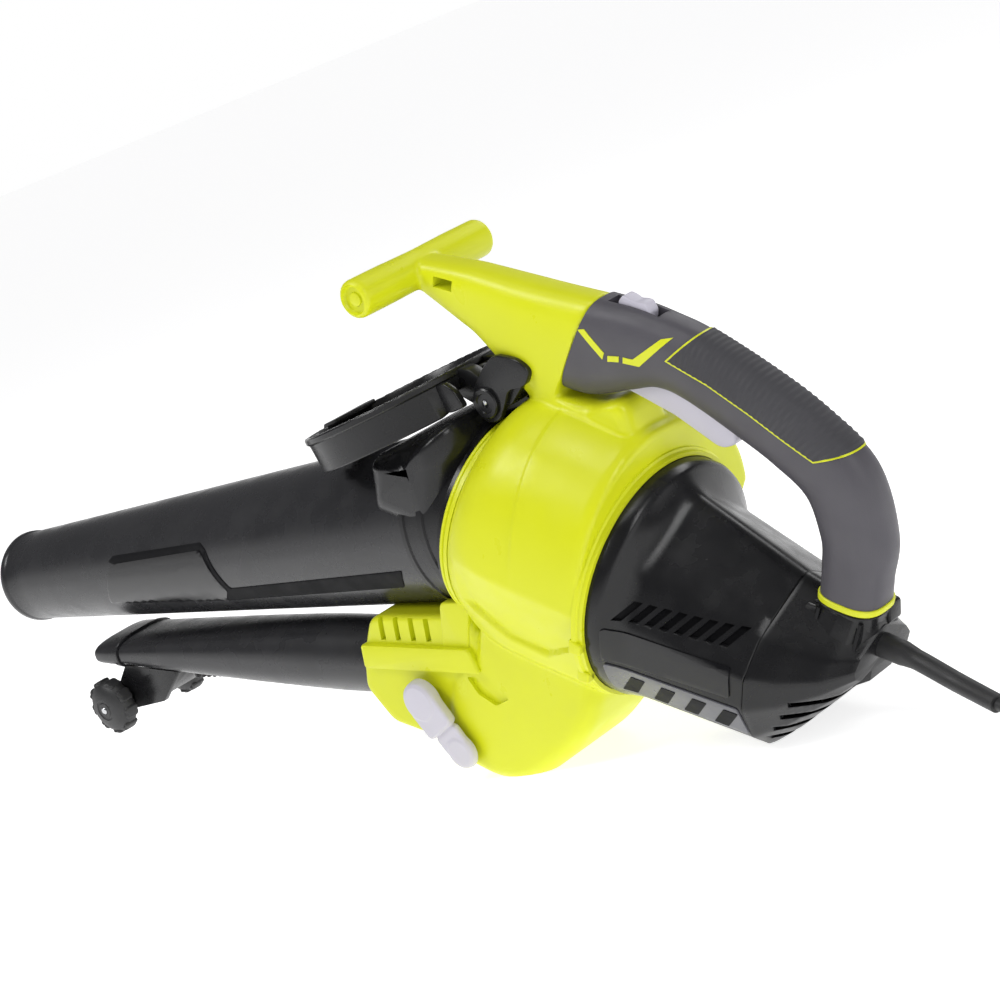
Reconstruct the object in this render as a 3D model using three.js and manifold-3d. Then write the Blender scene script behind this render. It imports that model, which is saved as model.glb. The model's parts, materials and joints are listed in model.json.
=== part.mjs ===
// Electric leaf blower and vacuum, in millimetres.
//
// The pieces are modelled in the fan's frame: the motor shaft lies along X, +X points to the
// motor's tail, +Y to the tool's right, +Z up, with the fan at the origin. The whole tool is then
// tipped nose up until it stands on its scroll foot and its motor foot, and set on the floor.
import * as THREE from 'three';
import { mergeVertices } from 'three/addons/utils/BufferGeometryUtils.js';
import Module from 'manifold-3d';

const wasm = await Module();
wasm.setup();

// ---- driving dimensions -------------------------------------------------------------------------

const GAP = 0.3;            // between pieces that touch
const RUN = 0.8;            // around pieces that turn or slide
const WALL = 3;             // moulded shells
const OVERSHOOT = 5;        // how far a cutting solid runs past what it cuts

// fan housing
const INLET_R = 79;         // round inlet flange
const EYE_R = 62;           // air way through the flange
const INLET_X = -69;
const RING_LENGTH = 8.5;
const SHOULDER_LENGTH = 24; // from the flange out to the full scroll
const SCROLL_R = 115;       // far and upper side of the scroll
const SCROLL_NEAR_R = 92;   // side at the start of the scroll
const SCROLL_BACK_X = 62;
const LIP_R = 89.5;         // thin lip around the motor cover
const LIP_LENGTH = 6;

// outlet elbow and selector block, below the scroll
const ELBOW_LEFT = -58;
const ELBOW_RIGHT = 32;
const BLOCK_LEFT = -56;
const BLOCK_RIGHT = 18;
const BELLY_Z = -194;
const LEDGE_DEPTH = 5;

// blow tube
const BLOW_START = new THREE.Vector3(-159, -19, -154);
const BLOW_SLOPE = 21.2;
const BLOW_LENGTH = 345;
const NOZZLE_LENGTH = 32;
const BLOW_R = 30;
const BLOW_TIP_WIDE = 64;
const BLOW_TIP_HIGH = 18;
const BLOW_ROUND = 50;       // round part at the block end
const SOCKET_DEPTH = 22;

// vacuum tube and its collar
const VAC_SLOPE = 27;
const VAC_BASE_R = 66;
const VAC_TIP_R = 38;
const VAC_LENGTH = 606;
const COLLAR_LENGTH = 46;
const KNOB_Y = 80;
const HOOD_LENGTH = 58;      // hood on the collar that closes the gap below the door
const HOOD_HALF = 36;
const TUBE_ROOM = 5;         // housing cleared around the tube and its collar
const VAC_START = new THREE.Vector3(-69, 0, 1);

// inlet door, open on top of the vacuum tube
const DOOR_R = 82;
const DOOR_HINGE = new THREE.Vector3(-72, 0, 96);
const DOOR_REACH = 96;
const DOOR_SLOPE = 36;
const DOOR_FACE = 30;       // outer face above the hinge line
const DOOR_TAPER = 2.5;     // how much its wall draws in towards the lower edge
const LATCH_DEPTH = 6;      // how far its catch hangs below the wall
const DOOR_BARS = 18;       // pitch of the bars in its dish
const DOOR_DISH = 12;
const DOOR_SKIRT = 5;       // lower edge of its wall above the hinge line
const DOOR_PIN_R = 3;
const DOOR_TONGUE = 19;      // half width of the hinge tongue

// front handle
const BAR_CENTRE = new THREE.Vector3(-153.5, 0, 165);
const BAR_R = 14.2;
const BAR_LENGTH = 136;
const BAR_DISH = 5;         // depth of its dished ends
const SLOT_LONG = 18;
const SLOT_HIGH = 8;
const SLOT_MIDDLE = [-118, 168];
const SLOT_RISE = 2;

// main handle
const GRIP_HALF_WIDTH = 19;
const SEAM_X = 2;
const SEAM_Z = 165;
const SEAM_LEAN = 18;
const TRIGGER_WIDTH = 17;
const SLIDER_LENGTH = 26;
const SLIDER_TRAVEL = 7;

// motor housing
const COVER_R = 86;
const COVER_COLLAR = 17;    // round part before the flat panels
const COVER_END_X = 185;
const TAIL_X = 247;
const VENT_COUNT = 4;

// motor
const SHAFT_R = 4;
const FIELD_R = 43;
const FIELD_START = 90;
const FIELD_LENGTH = 52;
const ARMATURE_R = 25;
const COMMUTATOR_R = 12;
const BEARING_R = 11;
const BEARING_LENGTH = 7;
const REAR_BEARING_X = 187;
const IMPELLER_R = 79;
const BLADE_COUNT = 8;

// wheels
const WHEEL_R = 24;
const WHEEL_WIDTH = 22;
const WHEEL_TRACK = 78;
const AXLE = new THREE.Vector3(-453, -19, -312);
const AXLE_R = 3;

// cord
const CORD_R = 4.1;
const CORD_EXIT = new THREE.Vector3(248, 0, 18);

// screws
const SCREW_R = 2;
const SCREW_HEAD_R = 3.8;
const SCREW_HEAD = 2.6;
const SCREW_LENGTH = 20;
const SCREW_SEAT = 12;      // how far the head's seat lies right of the middle plane
const POST_R = 5.5;
const HOUSING_SCREWS = [[-70, 160], [-22, 150], [-64, -184], [36, -118]];
const HANDLE_SCREWS = [[28, 178], [196, 138]];

const COLOURS = {
  green: { color: 0xd2d81e, roughness: 0.38, metalness: 0 },
  gloss: { color: 0x0c0c0e, roughness: 0.22, metalness: 0 },
  tube: { color: 0x2a2a2d, roughness: 0.3, metalness: 0 },
  grip: { color: 0x4b4950, roughness: 0.62, metalness: 0 },
  insert: { color: 0x3a393e, roughness: 0.8, metalness: 0 },
  pale: { color: 0xcbc9d2, roughness: 0.45, metalness: 0 },
  rubber: { color: 0x18181a, roughness: 0.75, metalness: 0 },
  steel: { color: 0x9a9da1, roughness: 0.3, metalness: 1 },
  copper: { color: 0xb06a3a, roughness: 0.35, metalness: 1 },
  board: { color: 0x7d7f84, roughness: 0.6, metalness: 0 },
};

// ---- small modelling helpers --------------------------------------------------------------------

const rad = THREE.MathUtils.degToRad;
const lerp = THREE.MathUtils.lerp;
const vec = (x, y, z) => new THREE.Vector3(x, y, z);

function solid(geometry) {
  const bare = geometry.clone();
  bare.deleteAttribute('normal');
  bare.deleteAttribute('uv');
  const merged = mergeVertices(bare, 1e-4);
  const mesh = new wasm.Mesh({
    numProp: 3,
    vertProperties: new Float32Array(merged.attributes.position.array),
    triVerts: new Uint32Array(merged.index.array),
  });
  return new wasm.Manifold(mesh);
}

function join(...solids) {
  return solids.reduce((whole, next) => whole.add(next));
}

function cut(body, ...tools) {
  return tools.reduce((left, tool) => left.subtract(tool), body);
}

// the biggest body, where a cut leaves slivers behind
function largest(body) {
  return body.decompose().reduce((best, next) => (next.volume() > best.volume() ? next : best));
}

function box(x0, x1, y0, y1, z0, z1) {
  const geometry = new THREE.BoxGeometry(x1 - x0, y1 - y0, z1 - z0);
  geometry.translate((x0 + x1) / 2, (y0 + y1) / 2, (z0 + z1) / 2);
  return solid(geometry);
}

// a round bar, or a cone, from point a to point b
function rod(a, b, radiusA, radiusB = radiusA, sides = 16) {
  const axis = b.clone().sub(a);
  const geometry = new THREE.CylinderGeometry(radiusB, radiusA, axis.length(), sides);
  const turn = new THREE.Quaternion().setFromUnitVectors(vec(0, 1, 0), axis.clone().normalize());
  geometry.applyQuaternion(turn);
  const middle = a.clone().add(b).multiplyScalar(0.5);
  geometry.translate(middle.x, middle.y, middle.z);
  return solid(geometry);
}

function pipe(a, b, outer, inner, sides = 16) {
  const past = b.clone().sub(a).normalize().multiplyScalar(OVERSHOOT);
  const bore = rod(a.clone().sub(past), b.clone().add(past), inner, inner, sides);
  return rod(a, b, outer, outer, sides).subtract(bore);
}

// an outline of [x, z] points carried along Y, with its ends rounded over by bevel
function prismY(points, y0, y1, bevel = 0, segments = 2) {
  const shape = new THREE.Shape(points.map(([x, z]) => new THREE.Vector2(x, z)));
  const geometry = new THREE.ExtrudeGeometry(shape, {
    depth: y1 - y0 - 2 * bevel,
    bevelEnabled: bevel > 0,
    bevelThickness: bevel,
    bevelSize: bevel,
    bevelOffset: -bevel,
    bevelSegments: segments,
  });
  geometry.rotateX(Math.PI / 2);
  geometry.translate(0, y1 - bevel, 0);
  return solid(geometry);
}

// rings of points with one count, skinned one after the other and closed at both ends
function loft(rings) {
  const count = rings[0].length;
  const points = rings.flat();
  const faces = [];
  for (let row = 0; row < rings.length - 1; row += 1) {
    for (let i = 0; i < count; i += 1) {
      const next = (i + 1) % count;
      const a = row * count + i;
      const b = row * count + next;
      faces.push(a, b, b + count, a, b + count, a + count);
    }
  }
  for (const [row, flip] of [[0, true], [rings.length - 1, false]]) {
    const centre = rings[row].reduce((sum, p) => sum.clone().add(p), vec(0, 0, 0)).divideScalar(count);
    points.push(centre);
    for (let i = 0; i < count; i += 1) {
      const a = row * count + i;
      const b = row * count + ((i + 1) % count);
      faces.push(...(flip ? [b, a, points.length - 1] : [a, b, points.length - 1]));
    }
  }
  const volume = faces.reduce((sum, _, i) => {
    if (i % 3) return sum;
    return sum + points[faces[i]].dot(points[faces[i + 1]].clone().cross(points[faces[i + 2]]));
  }, 0);
  if (volume < 0) faces.reverse();
  const geometry = new THREE.BufferGeometry().setFromPoints(points);
  geometry.setIndex(faces);
  return solid(geometry);
}

// a rounded section across a path that runs in an XZ plane; power 2 is an ellipse, 4 is boxy
function section(x, y, z, slope, halfWidth, halfHeight, power = 2, count = 16) {
  const up = vec(-Math.sin(rad(slope)), 0, Math.cos(rad(slope)));
  return Array.from({ length: count }, (_, i) => {
    const turn = (2 * Math.PI * i) / count;
    const c = Math.cos(turn);
    const s = Math.sin(turn);
    const across = halfWidth * Math.sign(c) * Math.abs(c) ** (2 / power);
    const rise = halfHeight * Math.sign(s) * Math.abs(s) ** (2 / power);
    return vec(x + up.x * rise, y + across, z + up.z * rise);
  });
}

function along(start, slope, distance, lift = 0, y = start.y) {
  const forward = vec(-Math.cos(rad(slope)), 0, -Math.sin(rad(slope)));
  const up = vec(-Math.sin(rad(slope)), 0, Math.cos(rad(slope)));
  const point = start.clone().addScaledVector(forward, distance).addScaledVector(up, lift);
  point.y = y;
  return point;
}

const tool = new THREE.Group();

function piece(name, body, colour) {
  const mesh = body.getMesh();
  const geometry = new THREE.BufferGeometry();
  geometry.setAttribute('position', new THREE.BufferAttribute(new Float32Array(mesh.vertProperties), 3));
  geometry.setIndex(new THREE.BufferAttribute(new Uint32Array(mesh.triVerts), 1));
  const made = new THREE.Mesh(geometry, new THREE.MeshStandardMaterial(COLOURS[colour]));
  made.name = name;
  tool.add(made);
  return made;
}

const FAR = 2000;
const leftHalf = box(-FAR, FAR, -FAR, -GAP / 2, -FAR, FAR);
const rightHalf = box(-FAR, FAR, GAP / 2, FAR, -FAR, FAR);

// ---- the floor that the tool stands on ----------------------------------------------------------

const SCROLL_FOOT = vec(-36, 0, BELLY_Z);
const MOTOR_FOOT = vec(181, 0, -76);
const PAD_DEPTH = 1.5;      // how much the feet are flattened
const TIP_ANGLE = Math.atan2(MOTOR_FOOT.z - SCROLL_FOOT.z, MOTOR_FOOT.x - SCROLL_FOOT.x);

function belowFloor() {
  const slab = new THREE.BoxGeometry(FAR, FAR, FAR);
  slab.translate(0, 0, -FAR / 2 + PAD_DEPTH);
  slab.rotateY(-TIP_ANGLE);
  slab.translate(SCROLL_FOOT.x, 0, SCROLL_FOOT.z);
  return solid(slab);
}

const floor = belowFloor();

// ---- fan housing --------------------------------------------------------------------------------

// scroll outline in the fan's plane as [y, z] points: a wide far side, a close near side with a
// flat below it, and a straight far flank
function scrollOutline(inset) {
  const points = [];
  const arc = (from, to, radiusAt, steps) => {
    for (let i = 0; i < steps; i += 1) {
      const share = i / steps;
      const turn = rad(lerp(from, to, share));
      points.push([radiusAt(share) * Math.cos(turn), radiusAt(share) * Math.sin(turn)]);
    }
  };
  const ease = (share) => (1 - Math.cos(Math.PI * share)) / 2;
  const far = SCROLL_R - inset;
  const near = SCROLL_NEAR_R - inset;
  arc(14, 95, () => far, 9);
  arc(95, 176, (share) => lerp(far, near, ease(share)), 10);
  const line = (from, to, steps) => {
    for (let i = 0; i < steps; i += 1) {
      points.push([lerp(from[0], to[0], i / steps), lerp(from[1], to[1], i / steps)]);
    }
  };
  const at = (radius, turn) => [radius * Math.cos(rad(turn)), radius * Math.sin(rad(turn))];
  line(at(near, 176), at(near, 224), 3);
  arc(224, 312, () => near, 6);
  line(at(near, 312), at(far, 14), 6);
  return points;
}

function scrollRing(x, share, inset) {
  return scrollOutline(inset).map(([y, z]) => {
    const turn = Math.atan2(z, y);
    const flange = INLET_R - inset;
    return vec(x, lerp(flange * Math.cos(turn), y, share), lerp(flange * Math.sin(turn), z, share));
  });
}

function fanRoom(x0, x1) {
  return loft([
    scrollRing(x0, 0, WALL),
    scrollRing(x0 + SHOULDER_LENGTH, 0.92, WALL),
    scrollRing(x1, 0.86, WALL),
  ]);
}

function scroll(inset, x0, x1) {
  const shoulder = x0 + SHOULDER_LENGTH;
  const edge = 8;
  return loft([
    scrollRing(x0, 0, inset),
    scrollRing(lerp(x0, shoulder, 0.5), 0.5, inset),
    scrollRing(shoulder, 0.92, inset),
    scrollRing(shoulder + edge, 1, inset),
    scrollRing(x1 - edge, 1, inset),
    scrollRing(x1, 0.86, inset),
  ]);
}

// side view of the elbow, from the scroll round to the selector block
const ELBOW = [
  [52, -40], [56, -84], [46, -118], [30, -146], [8, -172], [-12, -187], [-36, -194], [-62, -193],
  [-84, -188], [-84, -120], [-56, -84], [-50, -40],
];
// side view of the selector block
const BLOCK = [
  [-60, -62], [-88, -72], [-152, -99], [-160, -106], [-166, -140], [-164, -168], [-136, -187],
  [-60, -178], [-40, -120],
];

const centroid = (points) => [
  points.reduce((sum, p) => sum + p[0], 0) / points.length,
  points.reduce((sum, p) => sum + p[1], 0) / points.length,
];

// the outline drawn in towards its middle by about one wall
function shrink(points, wall) {
  const [cx, cz] = centroid(points);
  return points.map(([x, z]) => {
    const reach = Math.hypot(x - cx, z - cz);
    const share = Math.max(0.1, (reach - wall * 1.5) / reach);
    return [cx + (x - cx) * share, cz + (z - cz) * share];
  });
}

function blockLedge() {
  const low = along(BLOW_START, BLOW_SLOPE, -8, 8);
  const high = along(BLOW_START, BLOW_SLOPE, -8, 26);
  const highBack = along(BLOW_START, BLOW_SLOPE, -104, 26);
  const lowBack = along(BLOW_START, BLOW_SLOPE, -104, 8);
  const outline = [low, high, highBack, lowBack].map((p) => [p.x, p.z]);
  return prismY(outline, BLOCK_LEFT - LEDGE_DEPTH, BLOCK_LEFT + 12, 2, 1);
}

function blockVents() {
  const vents = [];
  for (let i = 0; i < VENT_COUNT; i += 1) {
    const foot = along(BLOW_START, BLOW_SLOPE, -14 - i * 13, 31);
    const head = along(BLOW_START, BLOW_SLOPE, -22 - i * 13, 44);
    const outline = [
      [foot.x - 3, foot.z], [foot.x + 3, foot.z], [head.x + 3, head.z], [head.x - 3, head.z],
    ];
    vents.push(prismY(outline, BLOCK_LEFT - OVERSHOOT, BLOCK_LEFT + 2 * WALL));
  }
  return vents;
}

function frontStem(inset) {
  const ring = (x, low, high, wide) => (
    section(x, 0, (low + high) / 2, 0, wide - inset, (high - low) / 2 - inset, 3.4)
  );
  return loft([
    ring(-156 + inset, 155, 176, 13),
    ring(-141, 152, 179, 14),
    ring(-105, 141, 184, 16),
    ring(-87, 134, 186, 17),
    ring(-51, 112, 189, 20),
    ring(-20, 96, 192, 21),
    ring(24, 90, 197, 21),
  ]);
}

// everything behind the slanted seam between the front stem and the main handle
function behindSeam(offset) {
  const slab = new THREE.BoxGeometry(FAR, FAR, FAR);
  slab.translate(FAR / 2 + offset, 0, 0);
  slab.rotateY(rad(SEAM_LEAN));
  slab.translate(SEAM_X, 0, SEAM_Z);
  return solid(slab);
}

// the step on top of the scroll that the main handle's front end sits on
function saddle(grow) {
  const half = GRIP_HALF_WIDTH + 2 + grow;
  return prismY([
    [-30, 92], [-30, 122 + grow], [20, 123 + grow], [44 + grow, 137 + grow], [52 + grow, 132],
    [52 + grow, 84],
  ], -half, half);
}

function frontBar() {
  const half = BAR_LENGTH / 2;
  const ends = [vec(BAR_CENTRE.x, -half, BAR_CENTRE.z), vec(BAR_CENTRE.x, half, BAR_CENTRE.z)];
  return rod(ends[0], ends[1], BAR_R, BAR_R, 28);
}

// the strap slot's outline in the XZ plane, grown by a wall; it rises to the rear
function slotOutline(grow) {
  const [x, z] = SLOT_MIDDLE;
  const long = SLOT_LONG / 2 + grow;
  const high = SLOT_HIGH / 2 + grow;
  return [
    [x - long, z - high], [x + long, z - high + SLOT_RISE],
    [x + long, z + high + SLOT_RISE], [x - long, z + high],
  ];
}

function strapSlot() {
  return prismY(slotOutline(0), -FAR / 10, FAR / 10);
}

function strapSleeve() {
  return prismY(slotOutline(WALL), -13, 13);
}

// the black bracket under the stem that carries the door's pin
function hingeBracket(grow) {
  const half = DOOR_TONGUE + RUN;
  const side = [
    [DOOR_HINGE.x - 7 - grow, DOOR_HINGE.z - 7 - grow], [DOOR_HINGE.x - 9 - grow, DOOR_HINGE.z + 4],
    [-62, 121 + grow], [-42 + grow, 124 + grow], [-38 + grow, 110], [-52, 88 - grow],
  ];
  const body = prismY(side, -half - 7 - grow, half + 7 + grow);
  return grow > 0 ? body : cut(body, box(-FAR, -61, -half, half, -FAR, FAR));
}

// room in front of the scroll for the inlet ring, and for the tube's collar that seats on it
function ringSpace() {
  return rod(vec(-FAR, 0, 0), vec(INLET_X + RING_LENGTH + GAP, 0, 0), INLET_R + GAP, INLET_R + GAP, 36);
}

function housing() {
  const scrollFront = INLET_X + RING_LENGTH + GAP;
  const outer = join(
    scroll(0, scrollFront, SCROLL_BACK_X),
    prismY(ELBOW, ELBOW_LEFT, ELBOW_RIGHT, 14, 2),
    prismY(BLOCK, BLOCK_LEFT, BLOCK_RIGHT, 5, 1),
    blockLedge(),
    frontStem(0).subtract(behindSeam(0)),
    frontBar(),
    saddle(0),
  );
  const rooms = join(
    fanRoom(scrollFront + WALL, SCROLL_BACK_X - WALL),
    prismY(shrink(ELBOW, WALL), ELBOW_LEFT + WALL, ELBOW_RIGHT - WALL, 12, 1),
    blockDuct(),
  );
  const stemRoom = frontStem(WALL).subtract(box(-FAR, -150, -FAR, FAR, -FAR, FAR));
  const barEnds = [-1, 1].map((side) => rod(
    vec(BAR_CENTRE.x, side * (BAR_LENGTH / 2 + OVERSHOOT), BAR_CENTRE.z),
    vec(BAR_CENTRE.x, side * (BAR_LENGTH / 2 - BAR_DISH), BAR_CENTRE.z),
    BAR_R - 2 * WALL,
    BAR_R - 2 * WALL,
    28,
  ));
  const eye = rod(vec(scrollFront - OVERSHOOT, 0, 0), vec(0, 0, 0), EYE_R, EYE_R, 36);
  const back = rod(vec(SCROLL_BACK_X - 2 * WALL, 0, 0), vec(SCROLL_BACK_X + OVERSHOOT, 0, 0), 70, 70, 36);
  const lip = pipe(
    vec(SCROLL_BACK_X - 1, 0, 0),
    vec(SCROLL_BACK_X + LIP_LENGTH, 0, 0),
    LIP_R,
    COVER_R + GAP,
    36,
  );
  const room = cut(stemRoom.intersect(box(-FAR, -6, -FAR, FAR, 118, FAR)), strapSleeve());
  const shell = cut(outer, rooms, room, ...barEnds, eye, back);
  const posts = HOUSING_SCREWS.map(([x, z]) => post(x, z).intersect(outer));
  return cut(
    join(shell, lip, ...posts),
    strapSlot(),
    ...blockVents(),
    hingeBracket(GAP),
    selectorShaftRod(GAP),
    triggerSpace(),
    ringSpace(),
    vacRod(-60, VAC_LENGTH / 2, TUBE_ROOM),
    ...HOUSING_SCREWS.map(([x, z]) => screwHole(x, z)),
    floor,
  );
}

// the straight air way through the selector block, and the socket that the blow tube plugs into
function blockDuct() {
  const ring = (distance, half, power) => {
    const p = along(BLOW_START, BLOW_SLOPE, distance);
    return section(p.x, p.y, p.z, BLOW_SLOPE, half, half, power, 20);
  };
  const mouth = 3 * OVERSHOOT;
  const duct = loft([
    ring(-110, BLOW_R + 1, 3),
    ring(-SOCKET_DEPTH - 6, BLOW_R - 1, 3),
    ring(mouth, BLOW_R - WALL, 2),
  ]);
  const socket = loft([ring(-SOCKET_DEPTH, BLOW_R + GAP, 2), ring(mouth, BLOW_R + GAP, 2)]);
  return duct.add(socket);
}

function post(x, z) {
  return rod(vec(x, -FAR / 10, z), vec(x, FAR / 10, z), POST_R, POST_R, 12);
}

function screwHole(x, z) {
  const clear = SCREW_HEAD_R + GAP;
  const seat = rod(vec(x, SCREW_SEAT, z), vec(x, FAR / 10, z), clear, clear, 10);
  const shank = rod(
    vec(x, SCREW_SEAT - SCREW_LENGTH - 1, z),
    vec(x, SCREW_SEAT + 1, z),
    SCREW_R + GAP,
    SCREW_R + GAP,
    8,
  );
  return seat.add(shank);
}

function addScrew(name, x, z) {
  const shank = rod(vec(x, SCREW_SEAT - SCREW_LENGTH, z), vec(x, SCREW_SEAT + 1, z), SCREW_R, SCREW_R, 8);
  const head = rod(
    vec(x, SCREW_SEAT + GAP, z),
    vec(x, SCREW_SEAT + GAP + SCREW_HEAD, z),
    SCREW_HEAD_R,
    SCREW_HEAD_R - 0.6,
    10,
  );
  const drive = rod(
    vec(x, SCREW_SEAT + GAP + 1, z),
    vec(x, SCREW_SEAT + GAP + SCREW_HEAD + 1, z),
    1.4,
    1.4,
    6,
  );
  piece(name, cut(join(shank, head), drive), 'steel');
}

function addHousing() {
  const whole = housing();
  piece('housing_left', whole.intersect(leftHalf), 'green');
  piece('housing_right', whole.intersect(rightHalf), 'green');
  HOUSING_SCREWS.forEach(([x, z], i) => addScrew(`housing_screw_${i + 1}`, x, z));
}

function addInletRing() {
  const start = vec(INLET_X, 0, 0);
  const end = vec(INLET_X + RING_LENGTH, 0, 0);
  piece('inlet_ring', pipe(start, end, INLET_R, EYE_R, 36), 'green');
}

// ---- vacuum tube --------------------------------------------------------------------------------

function vacRadius(distance) {
  return lerp(VAC_BASE_R, VAC_TIP_R, distance / VAC_LENGTH);
}

function vacRod(from, to, change) {
  return rod(
    along(VAC_START, VAC_SLOPE, from),
    along(VAC_START, VAC_SLOPE, to),
    vacRadius(from) + change,
    vacRadius(to) + change,
    32,
  );
}

function addVacuumTube() {
  const ahead = box(-FAR, INLET_X - GAP, -FAR, FAR, -FAR, FAR);
  const collar = vacRod(-60, COLLAR_LENGTH, 3).intersect(ahead);
  const flange = rod(vec(INLET_X - GAP - 5, 0, 0), vec(INLET_X - GAP, 0, 0), INLET_R - 4, INLET_R - 4, 32);
  const bore = vacRod(-80, COLLAR_LENGTH + OVERSHOOT, -WALL);
  const tab = rod(vec(INLET_X - GAP - 5, KNOB_Y, 0), vec(INLET_X - GAP, KNOB_Y, 0), 9, 9);
  const hoodFront = along(DOOR_HINGE, DOOR_SLOPE, HOOD_LENGTH, -1);
  const hoodBack = along(DOOR_HINGE, DOOR_SLOPE, 14, -1);
  const hood = prismY([
    [hoodFront.x, hoodFront.z], [hoodBack.x, hoodBack.z], [INLET_X - 6, hoodBack.z - 8], [INLET_X - 6, 40],
    [hoodFront.x + 10, 20],
  ], -HOOD_HALF, HOOD_HALF, 3, 1);
  piece('tube_collar', cut(join(collar, flange, tab, hood), bore), 'gloss');
  const start = COLLAR_LENGTH + GAP;
  const bead = vacRod(VAC_LENGTH - 7, VAC_LENGTH, 1.2);
  const body = vacRod(start, VAC_LENGTH, 0).add(bead);
  piece('vacuum_tube', cut(body, vacRod(start - OVERSHOOT, VAC_LENGTH + OVERSHOOT, -WALL)), 'tube');
  // the knob that locks the collar to the flange, on the right
  const foot = vec(INLET_X - GAP - 5 - GAP, KNOB_Y, 0);
  const top = foot.clone().add(vec(-14, 0, 0));
  piece('tube_lock_knob', rod(foot, top, 7, 6, 16), 'gloss');
}

// ---- inlet door ---------------------------------------------------------------------------------

function doorPinRod(radius, half) {
  return rod(
    vec(DOOR_HINGE.x, -half, DOOR_HINGE.z),
    vec(DOOR_HINGE.x, half, DOOR_HINGE.z),
    radius,
    radius,
    16,
  );
}

function addDoor() {
  const at = (distance, lift, y = 0) => along(DOOR_HINGE, DOOR_SLOPE, distance, lift, y);
  const floorLift = DOOR_FACE - DOOR_DISH - WALL;
  const disc = (low, high, lowR, highR) => rod(at(DOOR_REACH, low), at(DOOR_REACH, high), lowR, highR, 36);
  const rim = disc(DOOR_SKIRT, DOOR_FACE, DOOR_R - DOOR_TAPER, DOOR_R);
  const hollow = disc(floorLift + WALL, DOOR_FACE + 1, DOOR_R - 14, DOOR_R - 7);
  const under = disc(DOOR_SKIRT - 1, floorLift, DOOR_R - DOOR_TAPER - WALL, DOOR_R - DOOR_TAPER - WALL);
  const slots = [];
  for (let i = -2; i <= 2; i += 1) {
    const shift = i * DOOR_BARS;
    const half = Math.sqrt((DOOR_R - 25) ** 2 - shift ** 2);
    const near = DOOR_REACH + shift - DOOR_BARS / 3;
    const far = DOOR_REACH + shift + DOOR_BARS / 3;
    const top = floorLift + WALL + 1;
    const corners = [at(near, floorLift - 1), at(far, floorLift - 1), at(far, top), at(near, top)];
    slots.push(prismY(corners.map((p) => [p.x, p.z]), -half, half));
  }
  const tongueSide = [
    at(-5, -4), at(-5, 8), at(6, DOOR_FACE - 4), at(18, DOOR_FACE), at(18, floorLift + WALL), at(8, -4),
  ];
  const tongue = prismY(tongueSide.map((p) => [p.x, p.z]), -DOOR_TONGUE, DOOR_TONGUE);
  const barrel = rod(at(0, 0, -DOOR_TONGUE), at(0, 0, DOOR_TONGUE), 7, 7, 20);
  const door = cut(join(cut(rim, hollow, under, ...slots), tongue, barrel), doorPinRod(DOOR_PIN_R + GAP, 30));
  piece('inlet_door', door, 'gloss');
  piece('door_pin', doorPinRod(DOOR_PIN_R, DOOR_TONGUE + 7), 'steel');
  piece('hinge_bracket', cut(hingeBracket(0), doorPinRod(DOOR_PIN_R + GAP, 40)), 'gloss');
  const latchTop = DOOR_SKIRT - GAP;
  const latchEnd = DOOR_REACH + DOOR_R - 3;
  const latchSide = [
    at(latchEnd - 8, latchTop), at(latchEnd, latchTop),
    at(latchEnd - 1, latchTop - LATCH_DEPTH), at(latchEnd - 7, latchTop - LATCH_DEPTH),
  ];
  piece('door_latch', prismY(latchSide.map((p) => [p.x, p.z]), -34, -22), 'gloss');
}

// ---- blow tube, wheels --------------------------------------------------------------------------

function blowSize(distance) {
  const share = THREE.MathUtils.clamp((distance - BLOW_ROUND) / (BLOW_LENGTH - BLOW_ROUND), 0, 1);
  return {
    wide: lerp(BLOW_R, BLOW_TIP_WIDE / 2, share),
    high: lerp(BLOW_R, BLOW_TIP_HIGH / 2, share ** 1.25),
    power: lerp(2, 3, share),
  };
}

function blowLoft(distances, change) {
  return loft(distances.map((distance) => {
    const p = along(BLOW_START, BLOW_SLOPE, distance);
    const { wide, high, power } = blowSize(distance);
    return section(p.x, p.y, p.z, BLOW_SLOPE, wide + change, high + change, power, 20);
  }));
}

const BLOW_STEPS = [BLOW_ROUND, 130, 210, 275];

function addBlowTube() {
  const seam = BLOW_LENGTH - NOZZLE_LENGTH;
  const steps = [-SOCKET_DEPTH + GAP, ...BLOW_STEPS, seam - GAP];
  const inner = [-SOCKET_DEPTH - OVERSHOOT, ...BLOW_STEPS, BLOW_LENGTH + OVERSHOOT];
  piece('blow_tube', cut(blowLoft(steps, 0), blowLoft(inner, -WALL)), 'tube');
  const tip = blowLoft([seam, lerp(seam, BLOW_LENGTH, 0.5), BLOW_LENGTH], 0.6);
  piece('blow_nozzle_tip', cut(tip, blowLoft([275, BLOW_LENGTH + OVERSHOOT], -WALL)), 'tube');
}

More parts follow.
